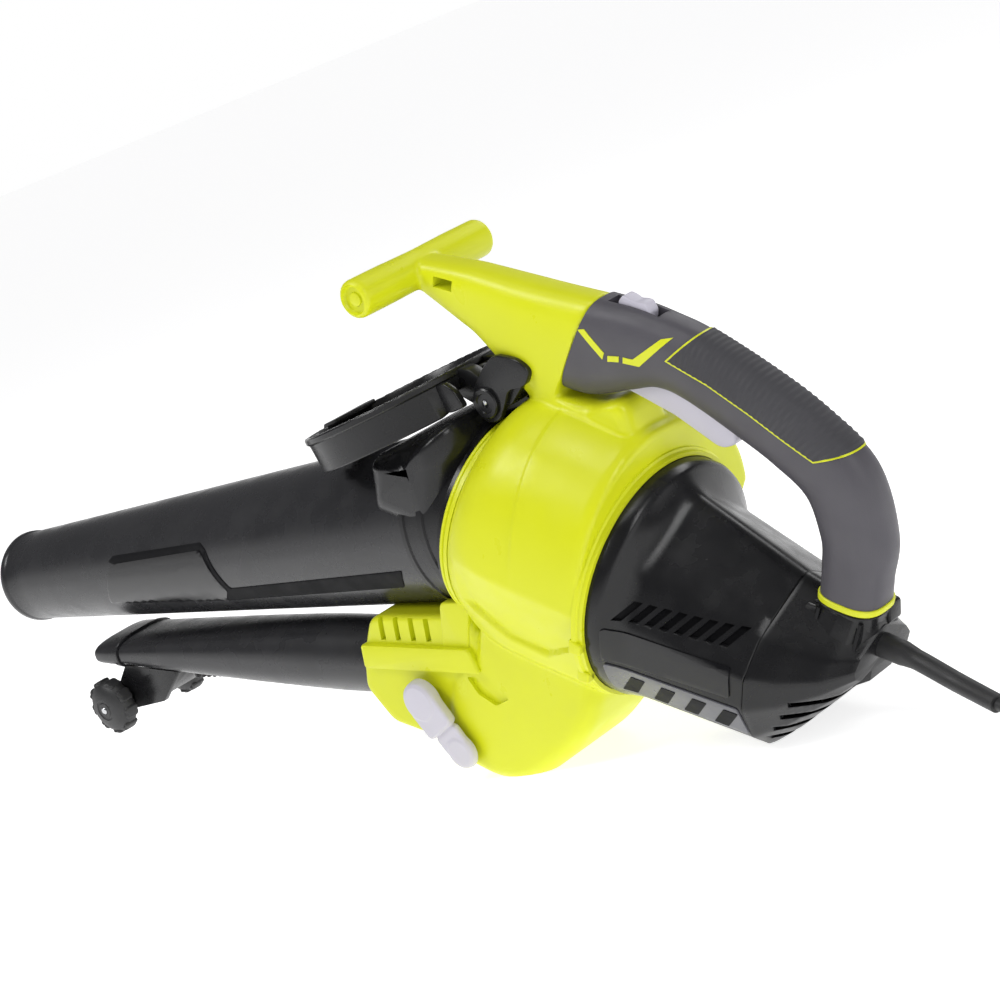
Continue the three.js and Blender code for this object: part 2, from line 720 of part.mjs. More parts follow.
function addWheels() {
  const half = WHEEL_TRACK / 2;
  const cheek = (y0, y1) => prismY([
    [AXLE.x - 9, AXLE.z + 3], [AXLE.x - 4, AXLE.z - 8], [AXLE.x + 6, AXLE.z - 8], [-403, -292], [-388, -262],
    [-388, -236], [-436, -256], [-446, -270],
  ], y0, y1);
  const inner = half - WHEEL_WIDTH / 2 - RUN;
  const cheeks = [
    cheek(AXLE.y - inner, AXLE.y - inner + 5),
    cheek(AXLE.y + inner - 5, AXLE.y + inner),
  ];
  const web = prismY([
    [AXLE.x + 20, AXLE.z + 22], [-404, -288], [-390, -262], [-390, -238], [-428, -254],
  ], AXLE.y - inner + 4, AXLE.y + inner - 4);
  const tubeSpace = blowLoft([...BLOW_STEPS, BLOW_LENGTH + OVERSHOOT], 0.6 + GAP);
  const axleRod = (radius, reach) => rod(
    vec(AXLE.x, AXLE.y - reach, AXLE.z),
    vec(AXLE.x, AXLE.y + reach, AXLE.z),
    radius,
    radius,
    16,
  );
  const bore = axleRod(AXLE_R + GAP, 2 * half);
  piece('wheel_bracket', largest(cut(join(...cheeks, web), tubeSpace, bore)), 'gloss');
  piece('wheel_axle', axleRod(AXLE_R, half + WHEEL_WIDTH / 2 + 1), 'steel');
  for (const [name, side] of [['wheel_left', -1], ['wheel_right', 1]]) {
    const y = AXLE.y + side * half;
    const rim = [
      rod(vec(AXLE.x, y - WHEEL_WIDTH / 2, AXLE.z), vec(AXLE.x, y - 4, AXLE.z), WHEEL_R - 4, WHEEL_R, 28),
      rod(vec(AXLE.x, y - 4, AXLE.z), vec(AXLE.x, y + 4, AXLE.z), WHEEL_R, WHEEL_R, 28),
      rod(vec(AXLE.x, y + 4, AXLE.z), vec(AXLE.x, y + WHEEL_WIDTH / 2, AXLE.z), WHEEL_R, WHEEL_R - 4, 28),
    ];
    piece(name, cut(join(...rim), bore), 'rubber');
  }
}

// ---- selector -----------------------------------------------------------------------------------

const SELECTOR = vec(-97, 0, -145);
const SELECTOR_R = 4;
const LEVER_REACH = 47;
const LEVER_SLOPE = -38;
const LEVER_THICK = 10;
const FLAP_REACH = 34;

function selectorShaftRod(grow) {
  const left = BLOCK_LEFT - LEDGE_DEPTH - 2 - (grow > 0 ? OVERSHOOT : 0);
  return rod(
    vec(SELECTOR.x, left, SELECTOR.z),
    vec(SELECTOR.x, BLOCK_RIGHT - 4 + grow, SELECTOR.z),
    SELECTOR_R + grow,
    SELECTOR_R + grow,
    16,
  );
}

function addSelector() {
  const inner = BLOCK_LEFT - LEDGE_DEPTH - 1;
  const outer = inner - LEVER_THICK;
  const turn = rad(LEVER_SLOPE);
  const end = vec(SELECTOR.x + LEVER_REACH * Math.cos(turn), 0, SELECTOR.z + LEVER_REACH * Math.sin(turn));
  const hub = rod(vec(SELECTOR.x, outer, SELECTOR.z), vec(SELECTOR.x, inner, SELECTOR.z), 16, 17, 28);
  const tip = rod(vec(end.x, outer + 1, end.z), vec(end.x, inner, end.z), 10, 11, 24);
  const side = vec(Math.sin(turn), 0, -Math.cos(turn));
  const corner = (p, reach) => [p.x + side.x * reach, p.z + side.z * reach];
  const arm = prismY(
    [corner(SELECTOR, 12), corner(end, 10), corner(end, -10), corner(SELECTOR, -12)],
    outer + 1,
    inner,
  );
  const socket = selectorShaftRod(GAP).intersect(box(-FAR, FAR, inner - 4, FAR, -FAR, FAR));
  piece('selector_lever', cut(join(hub, tip, arm), socket), 'pale');
  const shaft = rod(
    vec(SELECTOR.x, inner - 4 + GAP, SELECTOR.z),
    vec(SELECTOR.x, BLOCK_RIGHT - 4, SELECTOR.z),
    SELECTOR_R,
    SELECTOR_R,
    16,
  );
  piece('selector_shaft', shaft, 'steel');
  const wide = BLOW_R - 8;
  const sleeve = rod(
    vec(SELECTOR.x, BLOW_START.y - wide, SELECTOR.z),
    vec(SELECTOR.x, BLOW_START.y + wide, SELECTOR.z),
    SELECTOR_R + 2.5,
    SELECTOR_R + 2.5,
    16,
  );
  const flat = (distance, lift) => {
    const point = along(SELECTOR, BLOW_SLOPE, distance, lift);
    return [point.x, point.z];
  };
  const plate = prismY(
    [flat(2, -1.2), flat(FLAP_REACH, -1.2), flat(FLAP_REACH, 1.2), flat(2, 1.2)],
    BLOW_START.y - wide,
    BLOW_START.y + wide,
  );
  piece('selector_flap', cut(join(sleeve, plate), selectorShaftRod(GAP)), 'board');
}

// ---- motor cover and tail -----------------------------------------------------------------------

// corners of the cover's half section, from the ridge down to the keel, as [y, z]
const COVER_FRONT = [[0, 80], [60, 38], [78, 6], [79, -26], [58, -60], [28, -80]];
const COVER_REAR = [[0, 50], [50, 22], [68, -2], [68, -26], [52, -56], [28, -75]];
const TAIL_MIDDLE = [[0, 46], [46, 20], [60, -2], [58, -20], [44, -42], [26, -53]];
const TAIL_BACK = [[0, 42], [38, 18], [47, 4], [45, -6], [34, -17], [22, -21]];
const TAIL_END = [[0, 34], [27, 20], [33, 12], [31, 6], [24, 2], [16, 4]];
const EDGE_STEPS = 2;

function coverCorners(half) {
  const left = half.slice(1).map(([y, z]) => [-y, z]);
  return [...half.slice(1).reverse(), half[0], ...left];
}

function coverRing(x, half, inset, roundR = 0) {
  const corners = coverCorners(half);
  const points = [];
  corners.forEach((from, i) => {
    const to = corners[(i + 1) % corners.length];
    for (let step = 0; step < EDGE_STEPS; step += 1) {
      const y = lerp(from[0], to[0], step / EDGE_STEPS);
      const z = lerp(from[1], to[1], step / EDGE_STEPS);
      const reach = Math.hypot(y, z);
      const wanted = roundR > 0 ? roundR - inset : reach - inset;
      points.push(vec(x, (y * wanted) / reach, (z * wanted) / reach));
    }
  });
  return points;
}

function coverSolid(inset) {
  const end = COVER_END_X + (inset > 0 ? OVERSHOOT : 0);
  const start = SCROLL_BACK_X + GAP - (inset > 0 ? OVERSHOOT : 0);
  const collar = SCROLL_BACK_X + COVER_COLLAR;
  return loft([
    coverRing(start, COVER_FRONT, inset, COVER_R),
    coverRing(collar, COVER_FRONT, inset, COVER_R - 2),
    coverRing(collar + 10, COVER_FRONT, inset),
    coverRing(end, COVER_REAR, inset),
  ]);
}

function louvre(x, z, side) {
  const outline = [[x, z], [x + 9, z], [x + 19, z + 18], [x + 10, z + 18]];
  return side < 0 ? prismY(outline, -FAR, -40) : prismY(outline, 40, FAR);
}

function lowVent(x, z, side) {
  const outline = [[x, z], [x + 13, z], [x + 20, z + 11], [x + 7, z + 11]];
  return side < 0 ? prismY(outline, -FAR, -30) : prismY(outline, 30, FAR);
}

function skin(outline, side, lift) {
  const band = side < 0 ? prismY(outline, -FAR, -30) : prismY(outline, 30, FAR);
  return band.intersect(coverSolid(-lift).subtract(coverSolid(-GAP)));
}

function addMotorCover() {
  const vents = [];
  for (const side of [-1, 1]) {
    for (let i = 0; i < VENT_COUNT; i += 1) {
      vents.push(louvre(88 + i * 20, 10 - i * 1.5, side));
      vents.push(lowVent(92 + i * 21, -50 + i * 0.8, side));
    }
  }
  piece('motor_cover', cut(coverSolid(0), coverSolid(WALL), ...vents, floor), 'gloss');
  const plate = [[84, -24], [176, -21], [176, -4], [84, -1]];
  const frame = [[86, -54], [180, -51], [178, -34], [86, -34]];
  for (const [name, side] of [['left', -1], ['right', 1]]) {
    piece(`name_plate_${name}`, skin(plate, side, 1.3), 'gloss');
    const slots = [];
    for (let i = 0; i < VENT_COUNT; i += 1) slots.push(lowVent(92 + i * 21, -50 + i * 0.8, side));
    piece(`vent_frame_${name}`, cut(skin(frame, side, 1.1), ...slots), 'pale');
  }
}

function tailSolid(inset) {
  const start = COVER_END_X + GAP - (inset > 0 ? OVERSHOOT : 0);
  return loft([
    coverRing(start, COVER_REAR, inset),
    coverRing(205, TAIL_MIDDLE, inset),
    coverRing(230, TAIL_BACK, inset),
    coverRing(TAIL_X - inset, TAIL_END, inset),
  ]);
}

const FOOT_Z = 44;

function tailPedestal(inset) {
  return loft([
    section(222, 0, 12, -90, 22 - inset, 21 - inset, 3),
    section(224, 0, 30, -90, 21 - inset, 22 - inset, 3),
    section(224, 0, FOOT_Z + (inset > 0 ? OVERSHOOT : 0), -90, 20 - inset, 22 - inset, 3),
  ]);
}

function addTail() {
  const slots = [];
  for (let i = 0; i < 3; i += 1) {
    const z = -46 + i * 15;
    slots.push(prismY([[196 + i * 8, z], [FAR, z + 10], [FAR, z + 14], [196 + i * 8, z + 4]], -18, 18));
  }
  const seatEnd = REAR_BEARING_X + BEARING_LENGTH;
  const bearingSeat = pipe(
    vec(REAR_BEARING_X, 0, 0),
    vec(seatEnd + WALL, 0, 0),
    BEARING_R + 4,
    BEARING_R + GAP,
    20,
  );
  const wall = box(seatEnd + GAP, seatEnd + WALL, -60, 60, -60, 60).intersect(tailSolid(GAP));
  const wallHoles = join(
    box(REAR_BEARING_X, 200, -34, -18, -34, 10),
    box(REAR_BEARING_X, 200, 18, 34, -34, 10),
  );
  const guardHole = rod(vec(TAIL_X - 14, 0, CORD_EXIT.z), vec(TAIL_X + OVERSHOOT, 0, CORD_EXIT.z), 9, 9, 24);
  const footSpace = loft([FOOT_Z, FOOT_Z + 40].map((z) => (
    section(224, 0, z, -90, GRIP_HALF_WIDTH + 2 + GAP, 23.5 + GAP, 2.8, 28)
  )));
  const hook = prismY([[232, 28], [232, 40], [248, 40], [249, 30], [240, 22]], 5, 17);
  const shell = cut(join(tailSolid(0), tailPedestal(0), hook), tailSolid(WALL), footSpace);
  const body = join(shell, bearingSeat, cut(wall, wallHoles, rod(vec(180, 0, 0), vec(200, 0, 0), 7, 7, 24)));
  piece('rear_cover', cut(body, guardHole, ...slots, floor), 'gloss');
}

// ---- motor --------------------------------------------------------------------------------------

function addMotor() {
  const plateX = SCROLL_BACK_X + GAP;
  const x = (value, y = 0, z = 0) => vec(value, y, z);
  const disc = rod(x(plateX), x(plateX + 4), COVER_R - WALL - 4, COVER_R - WALL - 4, 32);
  const boss = rod(x(plateX), x(plateX + 4 + BEARING_LENGTH), BEARING_R + 4, BEARING_R + 4, 20);
  const seat = rod(x(plateX + 4), x(plateX + FAR), BEARING_R + GAP, BEARING_R + GAP, 20);
  const way = rod(x(plateX - OVERSHOOT), x(plateX + FAR), SHAFT_R + 2, SHAFT_R + 2, 20);
  piece('motor_mount_plate', cut(join(disc, boss), seat, way), 'steel');
  const bearings = [['front_bearing', plateX + 4 + GAP], ['rear_bearing', REAR_BEARING_X]];
  for (const [name, start] of bearings) {
    piece(name, pipe(x(start), x(start + BEARING_LENGTH - GAP), BEARING_R, SHAFT_R + GAP, 16), 'steel');
  }
  piece('rotor_shaft', rod(x(-24), x(196), SHAFT_R, SHAFT_R, 20), 'steel');
  const fieldEnd = x(FIELD_START + FIELD_LENGTH);
  const field = pipe(x(FIELD_START), fieldEnd, FIELD_R, ARMATURE_R + RUN, 32);
  const poles = box(0, FAR, -FAR, FAR, FIELD_R - 6, FAR).add(box(0, FAR, -FAR, FAR, -FAR, 6 - FIELD_R));
  piece('motor_field', cut(field, poles), 'steel');
  piece('armature', pipe(x(FIELD_START), fieldEnd, ARMATURE_R, SHAFT_R + GAP, 24), 'copper');
  piece('commutator', pipe(x(150), x(166), COMMUTATOR_R, SHAFT_R + GAP, 24), 'copper');
  for (const [name, side] of [['left', -1], ['right', 1]]) {
    const near = side * (COMMUTATOR_R + GAP);
    const far = side * (COMMUTATOR_R + 20);
    const brush = box(154, 162, Math.min(near, far), Math.max(near, far), -3, 3);
    piece(`brush_${name}`, brush, 'board');
    const inner = side * (COMMUTATOR_R + 4);
    const outer = side * (COMMUTATOR_R + 23);
    const shell = box(151, 165, Math.min(inner, outer), Math.max(inner, outer), -6, 6);
    const back = far + side * GAP;
    const bore = box(154 - GAP, 162 + GAP, Math.min(near, back), Math.max(near, back), -3 - GAP, 3 + GAP);
    piece(`brush_holder_${name}`, shell.subtract(bore), 'copper');
  }
  addImpeller();
}

function addImpeller() {
  const x = (value) => vec(value, 0, 0);
  const plate = rod(x(34), x(38), IMPELLER_R, IMPELLER_R, 32);
  const hub = rod(x(-6), x(38), 12, 16, 16);
  const blades = [];
  for (let i = 0; i < BLADE_COUNT; i += 1) {
    const turn = (2 * Math.PI * i) / BLADE_COUNT;
    const blade = new THREE.BoxGeometry(54, IMPELLER_R - 24, 2.4);
    blade.translate(8, (IMPELLER_R - 24) / 2 + 11, 0);
    blade.rotateX(turn + 0.3);
    blades.push(solid(blade));
  }
  const wheel = join(plate, hub, ...blades).intersect(rod(x(-19), x(38), IMPELLER_R, IMPELLER_R, 32));
  piece('impeller', cut(wheel, rod(x(-40), x(60), SHAFT_R + GAP, SHAFT_R + GAP, 20)), 'board');
  const nut = rod(x(-15), x(-6 - GAP), 7, 7, 6);
  piece('impeller_nut', cut(nut, rod(x(-40), x(60), SHAFT_R + GAP, SHAFT_R + GAP, 20)), 'steel');
}

// ---- main handle --------------------------------------------------------------------------------

// centre, slope, half width, half height and boxiness of the handle from front to foot
const HANDLE_RINGS = [
  [-24, 160, 0, 2, 37, 3.2],
  [10, 160, 0, 2, 36, 3.2],
  [43, 169, 4, 1, 30, 3],
  [66, 173, 0, 0, 25.5, 2.8],
  [92, 171, -6, 0, 25, 2.6],
  [137, 159, -16, 0, 26, 2.5],
  [174, 146, -32, 0, 26.5, 2.5],
  [207, 127, -52, 0, 27.5, 2.5],
  [223, 92, -78, 0, 26, 2.5],
  [224, 66, -90, 0, 23.5, 2.6],
  [224, 49, -90, 1, 22.5, 2.8],
];

function handleLoft(change, from = 0, to = HANDLE_RINGS.length) {
  return loft(HANDLE_RINGS.slice(from, to).map(([x, z, slope, wider, high, power]) => (
    section(x, 0, z, slope, GRIP_HALF_WIDTH + wider + change, high + change, power, 20)
  )));
}

const TRIGGER_PIVOT = vec(34, 0, 146);
const TRIGGER_PIN_R = 2;
const TRIGGER_SIDE = [
  [26, 139], [44, 138], [84, 131], [119, 121], [130, 128], [127, 143], [84, 152], [36, 154], [27, 149],
];
const SLIDER_MIDDLE = [41, 198];

function triggerPin(radius, reach) {
  return rod(
    vec(TRIGGER_PIVOT.x, -reach, TRIGGER_PIVOT.z),
    vec(TRIGGER_PIVOT.x, reach, TRIGGER_PIVOT.z),
    radius,
    radius,
    12,
  );
}

function triggerSpace() {
  return prismY([
    [22, 124], [60, 110], [140, 100], [137, 152], [90, 163], [34, 163], [22, 155],
  ], -TRIGGER_WIDTH / 2 - RUN, TRIGGER_WIDTH / 2 + RUN);
}

function sliderSpace() {
  const half = SLIDER_LENGTH / 2 + SLIDER_TRAVEL + 1;
  const [x, z] = SLIDER_MIDDLE;
  return box(x - half, x + half, -6, 6, z - 8, z + 20);
}

function addHandle() {
  const front = behindSeam(GAP);
  const shell = cut(handleLoft(0), handleLoft(-WALL, 1, HANDLE_RINGS.length - 1));
  const posts = HANDLE_SCREWS.map(([x, z]) => post(x, z).intersect(handleLoft(0)));
  const pinPost = triggerPin(3 * TRIGGER_PIN_R, 14);
  const whole = cut(
    join(shell, ...posts, pinPost).intersect(front),
    saddle(GAP),
    scroll(-GAP, INLET_X, SCROLL_BACK_X + GAP),
    triggerSpace(),
    sliderSpace(),
    triggerPin(TRIGGER_PIN_R + GAP, 12),
    ...HANDLE_SCREWS.map(([x, z]) => screwHole(x, z)),
  );
  piece('handle_left', whole.intersect(leftHalf), 'grip');
  piece('handle_right', whole.intersect(rightHalf), 'grip');
  HANDLE_SCREWS.forEach(([x, z], i) => addScrew(`handle_screw_${i + 1}`, x, z));
  const below = prismY([
    [60, 100], [60, 205], [72, 178], [137, 150], [186, 118], [205, 106], [205, 60],
  ], -FAR, FAR);
  const skinBody = handleLoft(1.2, 3, 8).subtract(handleLoft(GAP, 2, 10));
  piece('grip_insert', cut(skinBody, below), 'insert');
  const ring = loft([
    section(224, 0, FOOT_Z + GAP, -90, GRIP_HALF_WIDTH + 2, 23.5, 2.8, 28),
    section(224, 0, 49 - GAP, -90, GRIP_HALF_WIDTH + 2, 23.5, 2.8, 28),
  ]);
  const ringHole = loft([
    section(224, 0, 30, -90, GRIP_HALF_WIDTH - 4, 18, 2.8, 28),
    section(224, 0, 60, -90, GRIP_HALF_WIDTH - 4, 18, 2.8, 28),
  ]);
  piece('handle_foot_ring', ring.subtract(ringHole), 'green');
}

function addControls() {
  const half = TRIGGER_WIDTH / 2;
  const trigger = prismY(TRIGGER_SIDE, -half, half, 1.5, 1);
  piece('trigger', trigger.subtract(triggerPin(TRIGGER_PIN_R + GAP, FAR)), 'pale');
  piece('trigger_pin', triggerPin(TRIGGER_PIN_R, 12 - GAP), 'steel');
  const [x, z] = SLIDER_MIDDLE;
  const base = SLIDER_LENGTH / 2;
  const side = [
    [x - base, z - 6], [x + base, z - 6], [x + base, z], [x + base - 3, z + 5.4], [x - base + 3, z + 5.8],
    [x - base, z + 1],
  ];
  piece('speed_slider', prismY(side, -5.2, 5.2), 'pale');
  piece('switch_module', box(72, 108, -9, 9, 164.5, 182), 'board');
  piece('capacitor', box(116, 140, -8, 8, 154, 168), 'board');
}

// ---- cord guard, hook, cord and plug ------------------------------------------------------------

const GUARD_END = vec(343, -18, 23.8);
const GUARD_ROUTE = [vec(238, 0, 18), CORD_EXIT, vec(272, 0, 17.5), vec(308, -7, 18.5), GUARD_END];

// round rings of a changing radius along a curve
function taperedTube(curve, steps, sides, radiusAt) {
  const frames = curve.computeFrenetFrames(steps, false);
  const rings = [];
  for (let i = 0; i <= steps; i += 1) {
    const centre = curve.getPointAt(i / steps);
    const radius = radiusAt(i / steps);
    rings.push(Array.from({ length: sides }, (_, k) => {
      const turn = (2 * Math.PI * k) / sides;
      return centre.clone()
        .addScaledVector(frames.normals[i], radius * Math.cos(turn))
        .addScaledVector(frames.binormals[i], radius * Math.sin(turn));
    }));
  }
  return loft(rings);
}

function addCordGuard() {
  const route = new THREE.CatmullRomCurve3(GUARD_ROUTE);
  const guard = taperedTube(route, 8, 12, (share) => lerp(8.6, 6.4, share));
  const collar = rod(vec(236, 0, CORD_EXIT.z), vec(240, 0, CORD_EXIT.z), 11, 11, 24);
  piece('cord_guard', join(guard, collar), 'rubber');
}

const CORD_LIFT = CORD_R + 0.3;   // the cord's middle above the floor
// the cord's way over the floor from the end of its guard, and up into the plug
const CORD_ROUTE = [
  [20, -7, CORD_LIFT + 0.9], [38, -10, CORD_LIFT + 0.2], [58, -9, CORD_LIFT], [80, -3, CORD_LIFT],
  [100, 9, CORD_LIFT], [113, 28, CORD_LIFT], [116, 50, CORD_LIFT], [106, 70, CORD_LIFT],
  [88, 81, CORD_LIFT], [66, 84, CORD_LIFT + 1], [46, 84, CORD_LIFT + 6.5], [32, 84, 13], [20, 84, 13],
];
const PLUG_LENGTH = 40;
const PLUG_HALF_WIDE = 18;
const PLUG_HALF_HIGH = 12.5;
const PIN_LENGTH = 19;

function addLead(exit, forward) {
  const points = [
    exit.clone().addScaledVector(forward, GAP),
    exit.clone().addScaledVector(forward, 8),
    ...CORD_ROUTE.map(([x, y, z]) => vec(exit.x + x, exit.y + y, z)),
  ];
  const round = new THREE.Shape();
  round.absarc(0, 0, CORD_R, 0, 2 * Math.PI);
  const cord = new THREE.ExtrudeGeometry(round, {
    steps: 28,
    curveSegments: 4,
    extrudePath: new THREE.CatmullRomCurve3(points),
  });
  const end = points[points.length - 1];
  const body = loft([0, 12, 20, 34, PLUG_LENGTH].map((distance, i) => {
    const share = [0, 0.15, 0.9, 1, 0.94][i];
    const wide = lerp(CORD_R + 2.5, PLUG_HALF_WIDE, share);
    const high = lerp(CORD_R + 2.5, PLUG_HALF_HIGH, share);
    const x = end.x - GAP - distance;
    return section(x, end.y, end.z, 0, wide, high, 2.6).map((p) => vec(x, p.y, p.z));
  }));
  const pins = [-1, 1].map((s) => rod(
    vec(end.x - PLUG_LENGTH, end.y + s * 9.5, end.z),
    vec(end.x - PLUG_LENGTH - PIN_LENGTH, end.y + s * 9.5, end.z),
    2.4,
    2.2,
    12,
  ));
  return [piece('cord', solid(cord), 'rubber'), piece('plug', join(body, ...pins), 'rubber')];
}

// ---- assembly -----------------------------------------------------------------------------------

addHousing();
addInletRing();
addVacuumTube();
addDoor();
addBlowTube();
addWheels();
addSelector();
addMotorCover();
addTail();
addMotor();
addHandle();
addControls();
addCordGuard();

const group = new THREE.Group();
group.add(tool);
tool.rotation.y = TIP_ANGLE;
tool.updateMatrixWorld(true);
const bounds = new THREE.Box3().setFromObject(tool, true);
const middle = bounds.getCenter(vec(0, 0, 0));
tool.position.set(-middle.x, -middle.y, -bounds.min.z);
tool.updateMatrixWorld(true);

// the lead is drawn straight in the frame of the floor
const guardTip = new THREE.CatmullRomCurve3(GUARD_ROUTE).getTangent(1);
const lead = addLead(tool.localToWorld(GUARD_END.clone()), guardTip.transformDirection(tool.matrixWorld));
group.add(...lead);

export default group;
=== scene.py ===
"""Electric garden blower and vacuum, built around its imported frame.

Shapes are drawn in the fan's frame, in millimetres: X runs along the motor shaft to the tail,
Y to the tool's right, Z up, with the fan at the origin. ROW turns that into the frame's metres.
"""

import json
import math

import bmesh
import bpy
import numpy as np
from mathutils import Matrix, Vector
from mathutils.bvhtree import BVHTree

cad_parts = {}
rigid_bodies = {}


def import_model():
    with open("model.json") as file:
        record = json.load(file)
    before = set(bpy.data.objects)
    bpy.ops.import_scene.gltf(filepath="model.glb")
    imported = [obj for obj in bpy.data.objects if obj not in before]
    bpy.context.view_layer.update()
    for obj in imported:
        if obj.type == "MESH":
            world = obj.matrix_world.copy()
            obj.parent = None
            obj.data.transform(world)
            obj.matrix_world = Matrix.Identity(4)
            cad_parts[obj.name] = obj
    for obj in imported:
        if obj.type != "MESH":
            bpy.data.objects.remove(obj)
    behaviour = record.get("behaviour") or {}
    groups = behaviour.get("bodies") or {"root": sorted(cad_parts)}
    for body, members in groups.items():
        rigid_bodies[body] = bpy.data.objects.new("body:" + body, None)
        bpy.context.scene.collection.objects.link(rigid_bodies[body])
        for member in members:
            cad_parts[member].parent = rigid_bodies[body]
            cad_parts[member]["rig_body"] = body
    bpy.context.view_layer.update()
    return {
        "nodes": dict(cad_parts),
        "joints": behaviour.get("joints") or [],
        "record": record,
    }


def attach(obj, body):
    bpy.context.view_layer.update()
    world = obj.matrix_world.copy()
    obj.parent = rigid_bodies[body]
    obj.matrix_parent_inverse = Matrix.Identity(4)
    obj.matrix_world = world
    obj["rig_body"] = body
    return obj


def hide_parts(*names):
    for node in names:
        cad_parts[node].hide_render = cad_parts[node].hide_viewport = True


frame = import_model()

bl_info = {
    "name": "Garden Blower Vacuum",
    "version": (1, 0, 0),
    "blender": (4, 5, 0),
    "location": "View3D > Sidebar > Blower",
    "description": "Builds a garden blower and vacuum around its packed frame",
    "category": "Add Mesh",
}

JOINTS = {joint["name"]: joint for joint in frame["joints"]}
MM = 0.001


def shaft_frame():
    """The fan's frame in the row frame: millimetres in, metres out."""
    joint = JOINTS["rotor_spin"]
    forward = Vector(joint["axis"]).normalized()
    right = Vector((0, 1, 0))
    up = forward.cross(right)
    turn = Matrix((forward, right, up)).transposed().to_4x4()
    return Matrix.Translation(joint["pos_m"]) @ turn @ Matrix.Scale(MM, 4)


ROW = shaft_frame()


# ---- sizes -------------------------------------------------------------------------------------

INLET_X = -69
INLET_R = 79
EYE_R = 62
SCROLL_FRONT = -60.2
SCROLL_BACK = 62
SCROLL_R = 115
SCROLL_NEAR_R = 92
LIP_R = 89.5
ELBOW_SIDES = (-58, 32)
BLOCK_SIDES = (-56, 18)
BLOW_START = np.array([-159.0, -19.0, -154.0])
BLOW_SLOPE = 21.2
BLOW_LENGTH = 345
NOZZLE_LENGTH = 32
BLOW_R = 30
BLOW_ROUND = 50
VAC_START = np.array([-69.0, 0.0, 1.0])
VAC_SLOPE = 27
VAC_BASE_R = 66
VAC_TIP_R = 38
VAC_LENGTH = 606
COLLAR_LENGTH = 46
WALL = 3
DOOR_HINGE = np.array([-72.0, 0.0, 96.0])
DOOR_SLOPE = 36
DOOR_REACH = 96
DOOR_R = 81
BAR_CENTRE = np.array([-153.5, 0.0, 165.0])
BAR_R = 14.2
BAR_HALF = 68
COVER_R = 86
COVER_END = 185
TAIL_X = 247
GRIP_HALF = 19
SELECTOR = np.array([-97.0, 0.0, -145.0])
AXLE = np.array([-453.0, -19.0, -312.0])
CORD_R = 4.1


# ---- building shapes ---------------------------------------------------------------------------


class Form:
    """Points and faces gathered in the fan's frame, in millimetres."""

    def __init__(self):
        self.points = []
        self.faces = []

    def add(self, points, faces):
        base = len(self.points)
        self.points.extend(tuple(float(c) for c in p) for p in points)
        self.faces.extend([base + i for i in face] for face in faces)
        return self

    def skin(self, rings, ends=True, loop=False):
        """Skins rings of one count; ends closes the two end rings, loop joins the last to the first."""
        rings = [np.asarray(ring, float) for ring in rings]
        count = len(rings[0])
        faces = []
        spans = len(rings) if loop else len(rings) - 1
        for row in range(spans):
            a = row * count
            b = ((row + 1) % len(rings)) * count
            for i in range(count):
                j = (i + 1) % count
                faces.append([a + i, a + j, b + j, b + i])
        if ends and not loop:
            faces.append(list(range(count))[::-1])
            faces.append([(len(rings) - 1) * count + i for i in range(count)])
        return self.add(np.concatenate(rings), faces)

    def lathe(self, profile, start, forward, count=96):
        """Turns a profile of (distance, radius) about a line, closing it into a solid ring."""
        forward = np.asarray(forward, float)
        forward = forward / np.linalg.norm(forward)
        side = np.cross(forward, [0, 0, 1] if abs(forward[2]) < 0.9 else [1, 0, 0])
        side = side / np.linalg.norm(side)
        other = np.cross(forward, side)
        turns = np.linspace(0, 2 * math.pi, count, endpoint=False)
        circle = np.outer(np.cos(turns), side) + np.outer(np.sin(turns), other)
        rings = [np.asarray(start) + forward * d + circle * max(r, 0.01) for d, r in profile]
        closed = all(r > 0.01 for _, r in (profile[0], profile[-1]))
        return self.skin(rings, ends=not closed, loop=closed)

    def prism(self, outline, y0, y1):
        """An outline of (x, z) points carried along Y."""
        low = [(x, y0, z) for x, z in outline]
        high = [(x, y1, z) for x, z in outline]
        return self.skin([low, high])

    def box(self, low, high):
        (x0, y0, z0), (x1, y1, z1) = low, high
        return self.prism([(x0, z0), (x1, z0), (x1, z1), (x0, z1)], y0, y1)

    def mesh(self, name):
        mesh = bpy.data.meshes.new(name)
        mesh.from_pydata(self.points, [], self.faces)
        mesh.transform(ROW)
        shape = bmesh.new()
        shape.from_mesh(mesh)
        bmesh.ops.remove_doubles(shape, verts=shape.verts, dist=1e-6)
        bmesh.ops.recalc_face_normals(shape, faces=shape.faces)
        shape.to_mesh(mesh)
        shape.free()
        return mesh


def lerp(a, b, t):
    return a + (b - a) * t


def slanted(start, slope, distance, lift=0.0, y=None):
    """A point down a sloping line in the XZ plane, lifted square to it."""
    angle = math.radians(slope)
    point = np.array(start, float)
    point = point + distance * np.array([-math.cos(angle), 0, -math.sin(angle)])
    point = point + lift * np.array([-math.sin(angle), 0, math.cos(angle)])
    if y is not None:
        point[1] = y
    return point


def section(x, y, z, slope, half_wide, half_high, power=2.0, count=64):
    """A rounded section across a path in the XZ plane; power 2 is an ellipse and 4 is boxy."""
    angle = math.radians(slope)
    up = np.array([-math.sin(angle), 0, math.cos(angle)])
    turns = np.linspace(0, 2 * math.pi, count, endpoint=False)
    c, s = np.cos(turns), np.sin(turns)
    across = half_wide * np.sign(c) * np.abs(c) ** (2 / power)
    rise = half_high * np.sign(s) * np.abs(s) ** (2 / power)
    ring = np.outer(rise, up) + np.array([x, y, z])
    ring[:, 1] += across
    return ring


